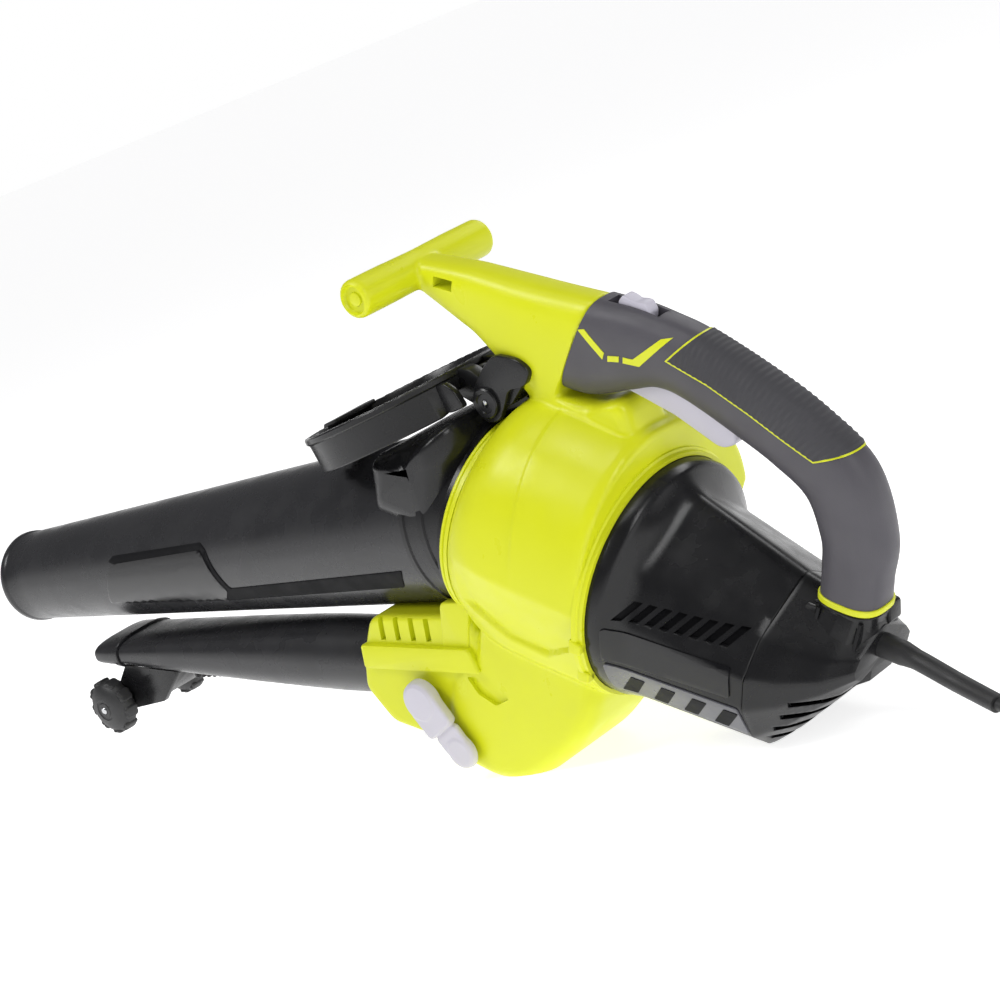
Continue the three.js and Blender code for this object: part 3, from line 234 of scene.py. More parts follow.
def spline(rows, steps):
    """Rows of numbers joined by a smooth curve, with steps new rows for each span."""
    rows = np.asarray(rows, float)
    out = []
    for i in range(len(rows) - 1):
        p0 = rows[max(i - 1, 0)]
        p1, p2 = rows[i], rows[i + 1]
        p3 = rows[min(i + 2, len(rows) - 1)]
        for k in range(steps):
            t = k / steps
            out.append(0.5 * (2 * p1 + (p2 - p0) * t + (2 * p0 - 5 * p1 + 4 * p2 - p3) * t * t
                              + (3 * p1 - p0 - 3 * p2 + p3) * t ** 3))
    out.append(rows[-1])
    return np.array(out)


def rounded(outline, radius, steps=4):
    """An outline of 2-D points with each corner rounded off."""
    points = [np.asarray(p, float) for p in outline]
    out = []
    for i, corner in enumerate(points):
        before, after = points[i - 1], points[(i + 1) % len(points)]
        r0 = min(radius, np.linalg.norm(before - corner) * 0.45)
        r1 = min(radius, np.linalg.norm(after - corner) * 0.45)
        a = corner + (before - corner) / np.linalg.norm(before - corner) * r0
        b = corner + (after - corner) / np.linalg.norm(after - corner) * r1
        for k in range(steps + 1):
            t = k / steps
            out.append(lerp(lerp(a, corner, t), lerp(corner, b, t), t))
    return [tuple(p) for p in out]


def soften(ring, passes):
    """A closed ring of points with its corners drawn in a little."""
    ring = np.asarray(ring, float)
    for _ in range(passes):
        ring = ring * 0.5 + (np.roll(ring, 1, 0) + np.roll(ring, -1, 0)) * 0.25
    return ring


def plain_object(name, mesh):
    thing = bpy.data.objects.new(name, mesh)
    bpy.context.scene.collection.objects.link(thing)
    return thing


def settle(thing):
    """Turns an object's modifiers into its plain mesh."""
    graph = bpy.context.evaluated_depsgraph_get()
    graph.update()
    made = bpy.data.meshes.new_from_object(thing.evaluated_get(graph))
    thing.modifiers.clear()
    thing.data = made
    return thing


def cut_away(thing, *cutters):
    """Takes closed forms out of a piece."""
    for i, form in enumerate(cutters):
        tool = plain_object(f"{thing.name}_cutter_{i}", form.mesh("cutter"))
        cutter = thing.modifiers.new("cut", "BOOLEAN")
        cutter.operation = "DIFFERENCE"
        cutter.solver = "EXACT"
        cutter.object = tool
        settle(thing)
        bpy.data.objects.remove(tool)
    return thing


def melt(thing, voxel, passes):
    """Joins overlapping solids into one moulding with soft inner corners."""
    shape = thing.modifiers.new("melt", "REMESH")
    shape.mode = "VOXEL"
    shape.voxel_size = voxel * MM
    calm = thing.modifiers.new("calm", "SMOOTH")
    calm.factor = 0.5
    calm.iterations = passes
    return settle(thing)


def round_edges(thing, width, segments=2, angle=32):
    """Rounds the sharp edges of a piece."""
    edge = thing.modifiers.new("edges", "BEVEL")
    edge.width = width * MM
    edge.segments = segments
    edge.limit_method = "ANGLE"
    edge.angle_limit = math.radians(angle)
    edge.use_clamp_overlap = True
    edge.harden_normals = False
    return settle(thing)


def shade(mesh, angle=38):
    mesh.shade_smooth()
    mesh.set_sharp_from_angle(angle=math.radians(angle))


def join_meshes(thing, others):
    """Adds other objects' meshes to a piece."""
    shape = bmesh.new()
    shape.from_mesh(thing.data)
    for other in others:
        shape.from_mesh(other.data)
        bpy.data.objects.remove(other)
    mesh = bpy.data.meshes.new(thing.name)
    shape.to_mesh(mesh)
    shape.free()
    thing.data = mesh
    return thing


def finish(thing, finish_name, body, nodes=(), angle=38):
    """Gives a piece its material and its body, and hides the frame's nodes that it stands for."""
    thing.data.materials.clear()
    thing.data.materials.append(MATERIALS[finish_name])
    for vert in thing.data.vertices:
        vert.co.z = max(vert.co.z, 0.0)
    shade(thing.data, angle)
    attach(thing, body)
    if nodes:
        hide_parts(*nodes)
    return thing


def surface_of(*things):
    """A surface to lay thin parts on, from finished pieces."""
    shape = bmesh.new()
    for thing in things:
        shape.from_mesh(thing.data)
    tree = BVHTree.FromBMesh(shape)
    shape.free()
    return tree


ROW_BACK = ROW.inverted()


def laid_on(name, tree, outline, towards, lift=0.5, thick=1.0, cell=3.0, edge=0.0):
    """A thin panel, drawn in (x, z), laid on a surface from the side that towards comes from."""
    mesh = bpy.data.meshes.new(name)
    shape = bmesh.new()
    face = shape.faces.new([shape.verts.new((x, 0, z)) for x, z in outline])
    bmesh.ops.triangulate(shape, faces=[face])
    low = np.min(np.array(outline), 0)
    high = np.max(np.array(outline), 0)
    for axis, (a, b) in enumerate(zip(low, high)):
        normal = (1, 0, 0) if axis == 0 else (0, 0, 1)
        for place in np.arange(a + cell / 2, b, cell):
            point = (place, 0, 0) if axis == 0 else (0, 0, place)
            everything = shape.verts[:] + shape.edges[:] + shape.faces[:]
            bmesh.ops.bisect_plane(shape, geom=everything, plane_co=point, plane_no=normal)
    ray = (ROW.to_3x3() @ Vector((0, -towards, 0))).normalized()
    lost = []
    for vert in shape.verts:
        start = ROW @ Vector((vert.co.x, towards * 200, vert.co.z))
        hit, normal, _, _ = tree.ray_cast(start, ray)
        if hit is None:
            lost.append(vert)
            continue
        vert.co = hit - ray * lift * MM
    bmesh.ops.delete(shape, geom=lost, context="VERTS")
    bmesh.ops.recalc_face_normals(shape, faces=shape.faces)
    shape.to_mesh(mesh)
    shape.free()
    thing = plain_object(name, mesh)
    wall = thing.modifiers.new("wall", "SOLIDIFY")
    wall.thickness = thick * MM
    wall.offset = 0
    settle(thing)
    if edge:
        round_edges(thing, edge, 2, 50)
    return thing


# ---- materials ---------------------------------------------------------------------------------

MATERIALS = {}


def node(tree, kind, x, y, **values):
    made = tree.nodes.new(kind)
    made.location = (x, y)
    for key, value in values.items():
        setattr(made, key, value)
    return made


def moulded(name, colour, roughness, grain=0.02, grain_size=900.0, tone=0.05, wear=0.15,
            spread=0.08, metallic=0.0, specular=0.5, coat=0.0):
    """A moulded or cast finish: tone and gloss drift, fine grain, and edges rubbed lighter."""
    material = bpy.data.materials.new(name)
    material.use_nodes = True
    tree = material.node_tree
    tree.nodes.clear()
    link = tree.links.new
    out = node(tree, "ShaderNodeOutputMaterial", 900, 0)
    shader = node(tree, "ShaderNodeBsdfPrincipled", 600, 0)
    shader.inputs["Metallic"].default_value = metallic
    shader.inputs["Specular IOR Level"].default_value = specular
    shader.inputs["Coat Weight"].default_value = coat
    shader.inputs["Coat Roughness"].default_value = 0.12
    place = node(tree, "ShaderNodeTexCoord", -900, 0)
    drift = node(tree, "ShaderNodeTexNoise", -650, 250)
    drift.inputs["Scale"].default_value = 11.0
    drift.inputs["Detail"].default_value = 3.0
    link(place.outputs["Object"], drift.inputs["Vector"])
    ramp = node(tree, "ShaderNodeValToRGB", -400, 250)
    dark = [c * (1 - tone) for c in colour]
    light = [min(1.0, c * (1 + tone) + tone * 0.004) for c in colour]
    ramp.color_ramp.elements[0].position = 0.35
    ramp.color_ramp.elements[1].position = 0.65
    ramp.color_ramp.elements[0].color = (*dark, 1)
    ramp.color_ramp.elements[1].color = (*light, 1)
    link(drift.outputs["Fac"], ramp.inputs["Fac"])
    edge = node(tree, "ShaderNodeNewGeometry", -650, -80)
    rubbed = node(tree, "ShaderNodeMapRange", -400, -80)
    rubbed.inputs["From Min"].default_value = 0.53
    rubbed.inputs["From Max"].default_value = 0.62
    rubbed.inputs["To Max"].default_value = wear
    link(edge.outputs["Pointiness"], rubbed.inputs["Value"])
    worn = node(tree, "ShaderNodeMix", -100, 200, data_type="RGBA")
    pale = [min(1.0, c * 1.25 + 0.05) for c in colour]
    worn.inputs["B"].default_value = (*pale, 1)
    link(rubbed.outputs["Result"], worn.inputs["Factor"])
    link(ramp.outputs["Color"], worn.inputs["A"])
    link(worn.outputs["Result"], shader.inputs["Base Color"])
    patch = node(tree, "ShaderNodeTexNoise", -650, -330)
    patch.inputs["Scale"].default_value = 45.0
    patch.inputs["Detail"].default_value = 5.0
    link(place.outputs["Object"], patch.inputs["Vector"])
    gloss = node(tree, "ShaderNodeMapRange", -400, -330)
    gloss.inputs["From Min"].default_value = 0.3
    gloss.inputs["From Max"].default_value = 0.7
    gloss.inputs["To Min"].default_value = max(0.02, roughness - spread)
    gloss.inputs["To Max"].default_value = roughness + spread
    link(patch.outputs["Fac"], gloss.inputs["Value"])
    link(gloss.outputs["Result"], shader.inputs["Roughness"])
    fine = node(tree, "ShaderNodeTexNoise", -650, -600)
    fine.inputs["Scale"].default_value = grain_size
    fine.inputs["Detail"].default_value = 2.0
    link(place.outputs["Object"], fine.inputs["Vector"])
    bump = node(tree, "ShaderNodeBump", 250, -400)
    bump.inputs["Strength"].default_value = min(1.0, grain * 10)
    bump.inputs["Distance"].default_value = 0.0002
    link(fine.outputs["Fac"], bump.inputs["Height"])
    link(bump.outputs["Normal"], shader.inputs["Normal"])
    link(shader.outputs["BSDF"], out.inputs["Surface"])
    MATERIALS[name] = material
    return material


def make_materials(settings):
    moulded("green_case", settings.case_colour, 0.34, grain=0.02, tone=0.02, wear=0.08, specular=0.35)
    moulded("black_case", settings.motor_colour, 0.26, grain=0.02, tone=0.15, wear=0.01, specular=0.35)
    moulded("tube_black", settings.tube_colour, 0.27, grain=0.015, tone=0.08, wear=0.01, specular=0.45)
    moulded("soft_grip", settings.grip_colour, 0.48, grain=0.06, grain_size=1500, tone=0.06, wear=0.05)
    moulded("ribbed_rubber", (0.042, 0.041, 0.047), 0.62, grain=0.08, grain_size=1800, tone=0.1, wear=0.05)
    moulded("pale_plastic", (0.56, 0.54, 0.62), 0.42, grain=0.03, tone=0.03, wear=0.05)
    moulded("vent_grey", (0.10, 0.10, 0.115), 0.34, grain=0.03, tone=0.05, wear=0.05)
    moulded("black_rubber", (0.02, 0.02, 0.021), 0.5, grain=0.08, grain_size=1200, tone=0.15, wear=0.05)
    moulded("bright_steel", (0.55, 0.56, 0.57), 0.28, grain=0.03, tone=0.04, wear=0.1, metallic=1.0)
    moulded("copper_winding", (0.45, 0.22, 0.1), 0.32, grain=0.1, grain_size=500, tone=0.1, metallic=1.0)
    moulded("motor_board", (0.2, 0.2, 0.22), 0.5, grain=0.04, tone=0.08)
    moulded("panel_black", (0.008, 0.008, 0.009), 0.2, grain=0.03, tone=0.1, wear=0.02)
    # Matte near-black for the trim strip on the vacuum tube, and for painted shade: the dark sheets in the
    # motor cover's vent slots and under its louvres.
    moulded("edge_black", (0.004, 0.004, 0.005), 0.6, grain=0.03, tone=0.1, wear=0.0, specular=0.12)
    moulded("label_black", (0.003, 0.003, 0.004), 0.14, grain=0.01, tone=0.1, wear=0.02)
    moulded("mark_green", settings.case_colour, 0.4, grain=0.01, tone=0.02, wear=0.0)


# ---- stage and camera --------------------------------------------------------------------------

CAMERA_TURN = 40.0
CAMERA_RISE = 30.5
CAMERA_FAR = 1900.0
LENS = 97.2
AIM = (85 / 2700, 41 / 2700)


def make_camera():
    turn, rise = math.radians(CAMERA_TURN), math.radians(CAMERA_RISE)
    back = Vector((math.sin(turn) * math.cos(rise), -math.cos(turn) * math.cos(rise), math.sin(rise)))
    right = Vector((math.cos(turn), math.sin(turn), 0))
    up = back.cross(right)
    place = CAMERA_FAR * (back - right * AIM[0] + up * AIM[1])
    lens = bpy.data.cameras.new("camera")
    lens.lens = LENS
    lens.sensor_width = 36
    lens.clip_end = 100
    camera = bpy.data.objects.new("camera", lens)
    bpy.context.scene.collection.objects.link(camera)
    turned = ROW.to_3x3() @ Matrix((right, up, back)).transposed()
    for column in range(3):
        turned.col[column] = turned.col[column].normalized()
    camera.matrix_world = Matrix.Translation(ROW @ place) @ turned.to_4x4()
    bpy.context.scene.camera = camera


def area_light(name, place, size, watts, colour=(1, 1, 1)):
    lamp = bpy.data.lights.new(name, "AREA")
    lamp.shape = "RECTANGLE"
    lamp.size, lamp.size_y = size
    lamp.energy = watts
    lamp.color = colour
    thing = bpy.data.objects.new(name, lamp)
    bpy.context.scene.collection.objects.link(thing)
    thing.location = place
    aim = Vector((0, 0, 0.15)) - Vector(place)
    thing.rotation_euler = aim.to_track_quat("-Z", "Y").to_euler()
    return thing


def make_stage(settings):
    make_camera()
    scene = bpy.context.scene
    scene.view_settings.view_transform = "Standard"
    area_light("key_light", (-0.9, -1.7, 2.6), (1.2, 0.9), 34 * settings.light)
    area_light("rear_light", (2.3, -0.5, 1.5), (0.5, 1.5), 15 * settings.light)
    area_light("far_light", (0.2, 2.2, 1.9), (2.0, 0.6), 15 * settings.light)
    area_light("top_light", (0.35, -0.35, 2.3), (0.9, 0.7), 9 * settings.light)
    world = bpy.data.worlds.new("studio")
    world.use_nodes = True
    tree = world.node_tree
    place = node(tree, "ShaderNodeTexCoord", -900, 0)
    split = node(tree, "ShaderNodeSeparateXYZ", -700, 0)
    ramp = node(tree, "ShaderNodeValToRGB", -500, 0)
    ramp.color_ramp.elements[0].position = 0.08
    ramp.color_ramp.elements[0].color = (1, 1, 1, 1)
    ramp.color_ramp.elements[1].position = 0.3
    ramp.color_ramp.elements[1].color = (0.15, 0.15, 0.155, 1)
    tree.links.new(place.outputs["Generated"], split.inputs[0])
    tree.links.new(split.outputs["Z"], ramp.inputs["Fac"])
    tree.links.new(ramp.outputs["Color"], tree.nodes["Background"].inputs["Color"])
    tree.nodes["Background"].inputs["Strength"].default_value = 1.0
    scene.world = world
    floor = bpy.data.meshes.new("floor")
    reach = 40.0
    floor.from_pydata([(-reach, -reach, 0), (reach, -reach, 0), (reach, reach, 0), (-reach, reach, 0)],
                      [], [(0, 1, 2, 3)])
    sheet = plain_object("floor", floor)
    paper = bpy.data.materials.new("paper")
    paper.use_nodes = True
    shader = paper.node_tree.nodes["Principled BSDF"]
    shader.inputs["Base Color"].default_value = (0.85, 0.85, 0.85, 1)
    shader.inputs["Roughness"].default_value = 0.9
    shader.inputs["Specular IOR Level"].default_value = 0.1
    shader.inputs["Emission Color"].default_value = (1, 1, 1, 1)
    shader.inputs["Emission Strength"].default_value = 0.8
    floor.materials.append(paper)


# ---- housing -----------------------------------------------------------------------------------

ELBOW = [
    (52, -40), (56, -84), (46, -118), (30, -146), (8, -172), (-12, -187), (-36, -194), (-62, -193),
    (-84, -188), (-84, -120), (-56, -84), (-50, -40),
]
BLOCK = [
    (-60, -62), (-88, -72), (-152, -99), (-160, -106), (-166, -140), (-164, -168), (-136, -187),
    (-60, -178), (-40, -120),
]


def scroll_outline():
    """The scroll as (y, z): wide on the far side, close and flatted on the near side."""
    points = []

    def arc(start, end, radius_at, steps):
        for i in range(steps):
            share = i / steps
            turn = math.radians(lerp(start, end, share))
            points.append((radius_at(share) * math.cos(turn), radius_at(share) * math.sin(turn)))

    def at(radius, turn):
        return np.array([radius * math.cos(math.radians(turn)), radius * math.sin(math.radians(turn))])

    def line(start, end, steps):
        for i in range(steps):
            points.append(tuple(lerp(start, end, i / steps)))

    def ease(share):
        return (1 - math.cos(math.pi * share)) / 2

    far, near = SCROLL_R, SCROLL_NEAR_R
    arc(14, 95, lambda share: far, 44)
    arc(95, 176, lambda share: lerp(far, near, ease(share)), 44)
    line(at(near, 176), at(near, 224), 20)
    arc(224, 312, lambda share: near, 40)
    line(at(near, 312), at(far, 14), 40)
    return np.array(points)


def scroll_form():
    outline = scroll_outline()
    turns = np.arctan2(outline[:, 1], outline[:, 0])
    flange = INLET_R * np.stack([np.cos(turns), np.sin(turns)], 1)
    profile = spline([
        (SCROLL_FRONT, 0.0), (-54, 0.34), (-46, 0.62), (-36, 0.84), (-25, 0.96), (-14, 1.0),
    ], 4)
    profile = [*profile, (0, 1.015), (4, 1.015), (30, 0.985), (54, 0.95), (60, 0.9), (SCROLL_BACK, 0.84)]
    rings = []
    for x, share in profile:
        ring = lerp(flange, outline, share)
        rings.append(np.column_stack([np.full(len(ring), x), ring]))
    return rings


def stem_rings(grow=0.0):
    rows = spline([
        (-150, 156, 175, 12.5), (-141, 153, 178, 13.5), (-105, 141, 184, 16), (-87, 134, 186, 17),
        (-51, 112, 189, 20), (-20, 92, 192, 21), (24, 80, 197, 21),
    ], 8)
    return [section(x, 0, (low + high) / 2, 0, wide + grow, (high - low) / 2 + grow, 3.2)
            for x, low, high, wide in rows]


def bevelled_prism(outline, y0, y1, bevel, steps=5, radius=10):
    """A prism with its two ends rounded over."""
    outline = np.array(rounded(outline, radius, 6))
    middle = outline.mean(0)
    turns = np.linspace(0, math.pi / 2, steps + 1)
    levels = [(y0 + bevel * (1 - math.cos(t)), bevel * (1 - math.sin(t))) for t in turns]
    levels += [(y0 + y1 - y, inset) for y, inset in levels[::-1]]
    reach = np.linalg.norm(outline - middle, axis=1)[:, None]
    made = []
    for y, inset in levels:
        drawn = middle + (outline - middle) * (1 - inset / reach)
        made.append(np.column_stack([drawn[:, 0], np.full(len(drawn), y), drawn[:, 1]]))
    return made


def behind_seam(offset=0.0):
    """A large slab behind the slanted seam between the stem and the main handle."""
    lean = math.radians(18)
    ahead = np.array([math.cos(lean), -math.sin(lean)])
    side = np.array([math.sin(lean), math.cos(lean)])
    start = np.array([2.0, 165.0]) + ahead * offset
    corners = [start - side * 400, start + ahead * 600 - side * 400, start + ahead * 600 + side * 400,
               start + side * 400]
    return Form().prism([tuple(c) for c in corners], -200, 200)


UPPER_CREASE = [(-44, 14), (-28, 10), (10, -2), (66, 6)]
LOWER_CREASE = [(-44, -32), (-38, -36), (-10, -49), (24, -49), (70, -16)]
FACET_DEPTH = 3.2
BARREL_STEP_X = 4.0
BARREL_STEP = 0.9


BARREL_REACH = 118
BARREL_FOOT = 6
FACET_START = -50
FACET_NEAR = 50


def press_facet(thing):
    """Presses a slanting facet into the near side of the scroll, and a low step round its barrel."""
    places = np.empty(len(thing.data.vertices) * 3)
    thing.data.vertices.foreach_get("co", places)
    places = places.reshape(-1, 3)
    back = np.array(ROW_BACK)
    fan = places @ back[:3, :3].T + back[:3, 3]
    x, y, z = fan.T
    top = np.interp(x, *np.array(UPPER_CREASE).T)
    low = np.interp(x, *np.array(LOWER_CREASE).T)
    share = (top - z) / (top - low)
    depth = FACET_DEPTH * np.clip(share, 0, 1) * np.clip(1 - (low - z) / 2.2, 0, 1)
    depth *= np.clip((x - FACET_START) / 10, 0, 1) * np.clip((-y - FACET_NEAR) / 15, 0, 1) * (x < SCROLL_BACK)
    barrel = (np.hypot(y, z) < BARREL_REACH) & (z > BARREL_FOOT) & (y < 10) & (np.abs(y) + z * 0.12 > 24)
    fade = np.clip((z - BARREL_FOOT) / 30, 0, 1) * np.clip((x + 52) / 40, 0, 1)
    depth += BARREL_STEP * fade * barrel * np.clip((BARREL_STEP_X - x - 0.12 * (z - 40)) / 1.6, 0, 1)
    reach = np.maximum(np.hypot(y, z), 1)
    fan[:, 1] *= 1 - depth / reach
    fan[:, 2] *= 1 - depth / reach
    ahead = np.array(ROW)
    places = fan @ ahead[:3, :3].T + ahead[:3, 3]
    thing.data.vertices.foreach_set("co", places.ravel())
    thing.data.update()


def make_housing(settings):
    core = plain_object("fan_housing", Form().skin(scroll_form()).mesh("fan_housing"))
    parts = [
        Form().skin(bevelled_prism(ELBOW, *ELBOW_SIDES, 15)),
        Form().skin(bevelled_prism(BLOCK, *BLOCK_SIDES, 4.5, radius=6)),
    ]
    stem = plain_object("stem", Form().skin(stem_rings()).mesh("stem"))
    cut_away(stem, behind_seam())
    saddle = [(-30, 88), (-34, 106), (-20, 119), (16, 120), (38, 133), (48, 128), (58, 100), (60, 84)]
    parts.append(Form().skin(bevelled_prism(saddle, -22, 22, 9, radius=12)))
    end = BAR_CENTRE[1] - BAR_HALF
    profile = [(0, 0.0), (0, 11.8), (1.0, 13.2), (3, BAR_R), (34, BAR_R), (68, BAR_R - 0.6), (102, BAR_R),
               (133, BAR_R), (135, 13.2), (136, 11.8), (136, 0.0)]
    bar = Form().lathe(profile, (BAR_CENTRE[0], end, BAR_CENTRE[2]), (0, 1, 0), 72)
    others = [stem] + [plain_object("part", form.mesh("part")) for form in parts]
    others.append(plain_object("bar", bar.mesh("bar")))
    join_meshes(core, others)
    melt(core, settings.moulding_voxel, 4)
    press_facet(core)
    slot = Form().prism([(-127, 164), (-109, 166), (-109, 174), (-127, 172)], -40, 40)
    hollow = Form().lathe([(0, 0), (0, EYE_R), (60, EYE_R), (60, 0)], (SCROLL_FRONT - 4, 0, 0), (1, 0, 0), 96)
    socket = Form()
    start = slanted(BLOW_START, BLOW_SLOPE, 30)
    finish_line = slanted(BLOW_START, BLOW_SLOPE, -24)
    socket.lathe([(0, 0), (0, BLOW_R + 1), (54, BLOW_R + 1), (54, 0)], start, finish_line - start, 96)
    tools = [slot, hollow, socket]
    for way in (-1, 1):
        rim = (BAR_CENTRE[0], way * (BAR_HALF + 1), BAR_CENTRE[2])
        tools.append(Form().lathe([(0, 0), (0, 11.2), (3.6, 10.2), (4.6, 9.4), (4.6, 0)], rim, (0, -way, 0),
                                  72))
    vents = Form()
    for i in range(4):
        x = -146 + i * 15
        foot = z_at_ledge(x) + 3
        vents.prism([(x, foot), (x + 5, foot + 2), (x + 1, foot + 20), (x - 4, foot + 18)],
                    BLOCK_SIDES[0] - 6, BLOCK_SIDES[0] + 5)
    tools.append(vents)
    tools.append(Form().prism(rounded([(-61, -112), (-41, -103), (-21, -114), (-33, -125), (-50, -122)], 2,
                                      3),
                              BLOCK_SIDES[0] - 9, BLOCK_SIDES[0] + 1.4))
    cut_away(core, *tools)
    # crisp mouldings that stand on the soft core
    extras = Form()
    lip = [(0, LIP_R - 3), (0, LIP_R + 2), (3, LIP_R + 1.6), (4, LIP_R), (7.5, LIP_R - 0.2),
           (7.5, COVER_R + 0.4)]
    extras.lathe(lip, (SCROLL_BACK - 1.5, 0, 0), (1, 0, 0), 144)
    for x, z in ((64, -18), (64, -46)):
        y = -math.sqrt((LIP_R + 2) ** 2 - z * z)
        extras.skin(bevelled_prism([(x - 6, z - 5), (x + 4, z - 4), (x + 4, z + 4), (x - 6, z + 6)],
                                   y - 1.6, y + 6, 1.2, 3, 2))
    for way in (-1, 1):
        boss = (BAR_CENTRE[0], way * (BAR_HALF - 4.2), BAR_CENTRE[2])
        extras.lathe([(0, 0), (0, 5.5), (1.8, 5), (2.2, 4), (2.2, 0)], boss, (0, way, 0), 48)
    extras.skin(bevelled_prism([(-88, -60), (-60, -48), (-60, -92), (-84, -100)], BLOCK_SIDES[0] - 1,
                               BLOCK_SIDES[0] + 8, 1.5, 3, 5))
    extras_object = plain_object("extras", extras.mesh("extras"))
    ledge_side = [slanted(BLOW_START, BLOW_SLOPE, d, lift) for d, lift in
                  ((-2, 8), (-5, 27), (-119, 27), (-124, 8))]
    ledge = plain_object("ledge", Form().skin(bevelled_prism(
        [(p[0], p[2]) for p in ledge_side], BLOCK_SIDES[0] - 5, BLOCK_SIDES[0] + 12, 2.5,
        radius=3)).mesh("ledge"))
    join_meshes(core, [extras_object, ledge])
    finish(core, "green_case", "housing", ("housing_left", "housing_right"), 34)
    return core


def z_at_ledge(x):
    """The height of the ledge's upper edge at a place along the block."""
    point = slanted(BLOW_START, BLOW_SLOPE, 0, 27)
    return point[2] + (x - point[0]) * math.tan(math.radians(BLOW_SLOPE))


def make_inlet_ring(settings):
    profile = [(0, EYE_R), (0, INLET_R - 2.5), (1, INLET_R - 1), (2.2, INLET_R - 0.2), (3.6, INLET_R - 0.2),
               (4.2, INLET_R - 1.2), (4.9, INLET_R - 1.2), (5.5, INLET_R), (8.5, INLET_R), (8.5, EYE_R)]
    ring = plain_object("inlet_flange",
                        Form().lathe(profile, (INLET_X, 0, 0), (1, 0, 0), 160).mesh("inlet_flange"))
    finish(ring, "green_case", "housing", ("inlet_ring",), 30)


# ---- repeating parts, made with Geometry Nodes --------------------------------------------------


def repeat_tree():
    """A node tree that sets one part on every point of a mesh, turned by its turn attribute."""
    tree = bpy.data.node_groups.new("repeat_part", "GeometryNodeTree")
    face = tree.interface
    face.new_socket("Geometry", in_out="INPUT", socket_type="NodeSocketGeometry")
    face.new_socket("Part", in_out="INPUT", socket_type="NodeSocketObject")
    size = face.new_socket("Size", in_out="INPUT", socket_type="NodeSocketFloat")
    size.default_value = 1.0
    face.new_socket("Finish", in_out="INPUT", socket_type="NodeSocketMaterial")
    face.new_socket("Geometry", in_out="OUTPUT", socket_type="NodeSocketGeometry")
    enter = node(tree, "NodeGroupInput", -700, 0)
    leave = node(tree, "NodeGroupOutput", 700, 0)
    points = node(tree, "GeometryNodeMeshToPoints", -450, 150)
    part = node(tree, "GeometryNodeObjectInfo", -450, -120)
    part.transform_space = "ORIGINAL"
    turn = node(tree, "GeometryNodeInputNamedAttribute", -450, -380, data_type="FLOAT_VECTOR")
    turn.inputs["Name"].default_value = "turn"
    spread = node(tree, "GeometryNodeInstanceOnPoints", -150, 50)
    real = node(tree, "GeometryNodeRealizeInstances", 150, 50)
    paint = node(tree, "GeometryNodeSetMaterial", 400, 50)
    link = tree.links.new
    link(enter.outputs["Geometry"], points.inputs["Mesh"])
    link(enter.outputs["Part"], part.inputs["Object"])
    link(points.outputs["Points"], spread.inputs["Points"])
    link(part.outputs["Geometry"], spread.inputs["Instance"])
    link(turn.outputs["Attribute"], spread.inputs["Rotation"])
    link(enter.outputs["Size"], spread.inputs["Scale"])
    link(spread.outputs["Instances"], real.inputs["Geometry"])
    link(real.outputs["Geometry"], paint.inputs["Geometry"])
    link(enter.outputs["Finish"], paint.inputs["Material"])
    link(paint.outputs["Geometry"], leave.inputs["Geometry"])
    return tree


def repeat(name, part_form, places, finish_name, size=1.0):
    """Sets a part, drawn about the fan frame's origin, at places of (x, y, z, turn about Y, turn about X)."""
    tree = bpy.data.node_groups.get("repeat_part") or repeat_tree()
    bare = bpy.data.meshes.new(name + "_part")
    bare.from_pydata([tuple(c * MM for c in p) for p in part_form.points], [], part_form.faces)
    shape = bmesh.new()
    shape.from_mesh(bare)
    bmesh.ops.remove_doubles(shape, verts=shape.verts, dist=1e-6)
    bmesh.ops.recalc_face_normals(shape, faces=shape.faces)
    shape.to_mesh(bare)
    shape.free()
    part = plain_object(name + "_part", bare)
    mesh = bpy.data.meshes.new(name)
    mesh.from_pydata([ROW @ Vector(place[:3]) for place in places], [], [])
    turns = mesh.attributes.new("turn", "FLOAT_VECTOR", "POINT")
    base = ROW.to_3x3().normalized()
    for i, place in enumerate(places):
        turned = base @ Matrix.Rotation(place[3], 3, "Y") @ Matrix.Rotation(place[4], 3, "X")
        turns.data[i].vector = turned.to_euler("XYZ")
    thing = plain_object(name, mesh)
    maker = thing.modifiers.new("repeat", "NODES")
    maker.node_group = tree
    sockets = {item.name: item.identifier for item in tree.interface.items_tree
               if getattr(item, "in_out", "") == "INPUT"}
    maker[sockets["Part"]] = part
    maker[sockets["Size"]] = size
    maker[sockets["Finish"]] = MATERIALS[finish_name]
    settle(thing)
    bpy.data.objects.remove(part)
    return thing


def from_node(name, node_name, finish_name, edge=0.6, segments=2, angle=30):
    """A CAD node's shape with its edges rounded over."""
    mesh = frame["nodes"][node_name].data.copy()
    mesh.name = name
    shape = bmesh.new()
    shape.from_mesh(mesh)
    bmesh.ops.remove_doubles(shape, verts=shape.verts, dist=1e-5)
    bmesh.ops.dissolve_limit(shape, angle_limit=math.radians(1), verts=shape.verts, edges=shape.edges)
    shape.to_mesh(mesh)
    shape.free()
    thing = plain_object(name, mesh)
    if edge:
        round_edges(thing, edge, segments, angle)
    body = frame["nodes"][node_name]["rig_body"]
    return finish(thing, finish_name, body, (node_name,), 30)


# ---- vacuum tube -------------------------------------------------------------------------------


def vac_radius(distance):
    return lerp(VAC_BASE_R, VAC_TIP_R, distance / VAC_LENGTH)


def vac_axis():
    return slanted((0, 0, 0), VAC_SLOPE, 1.0)


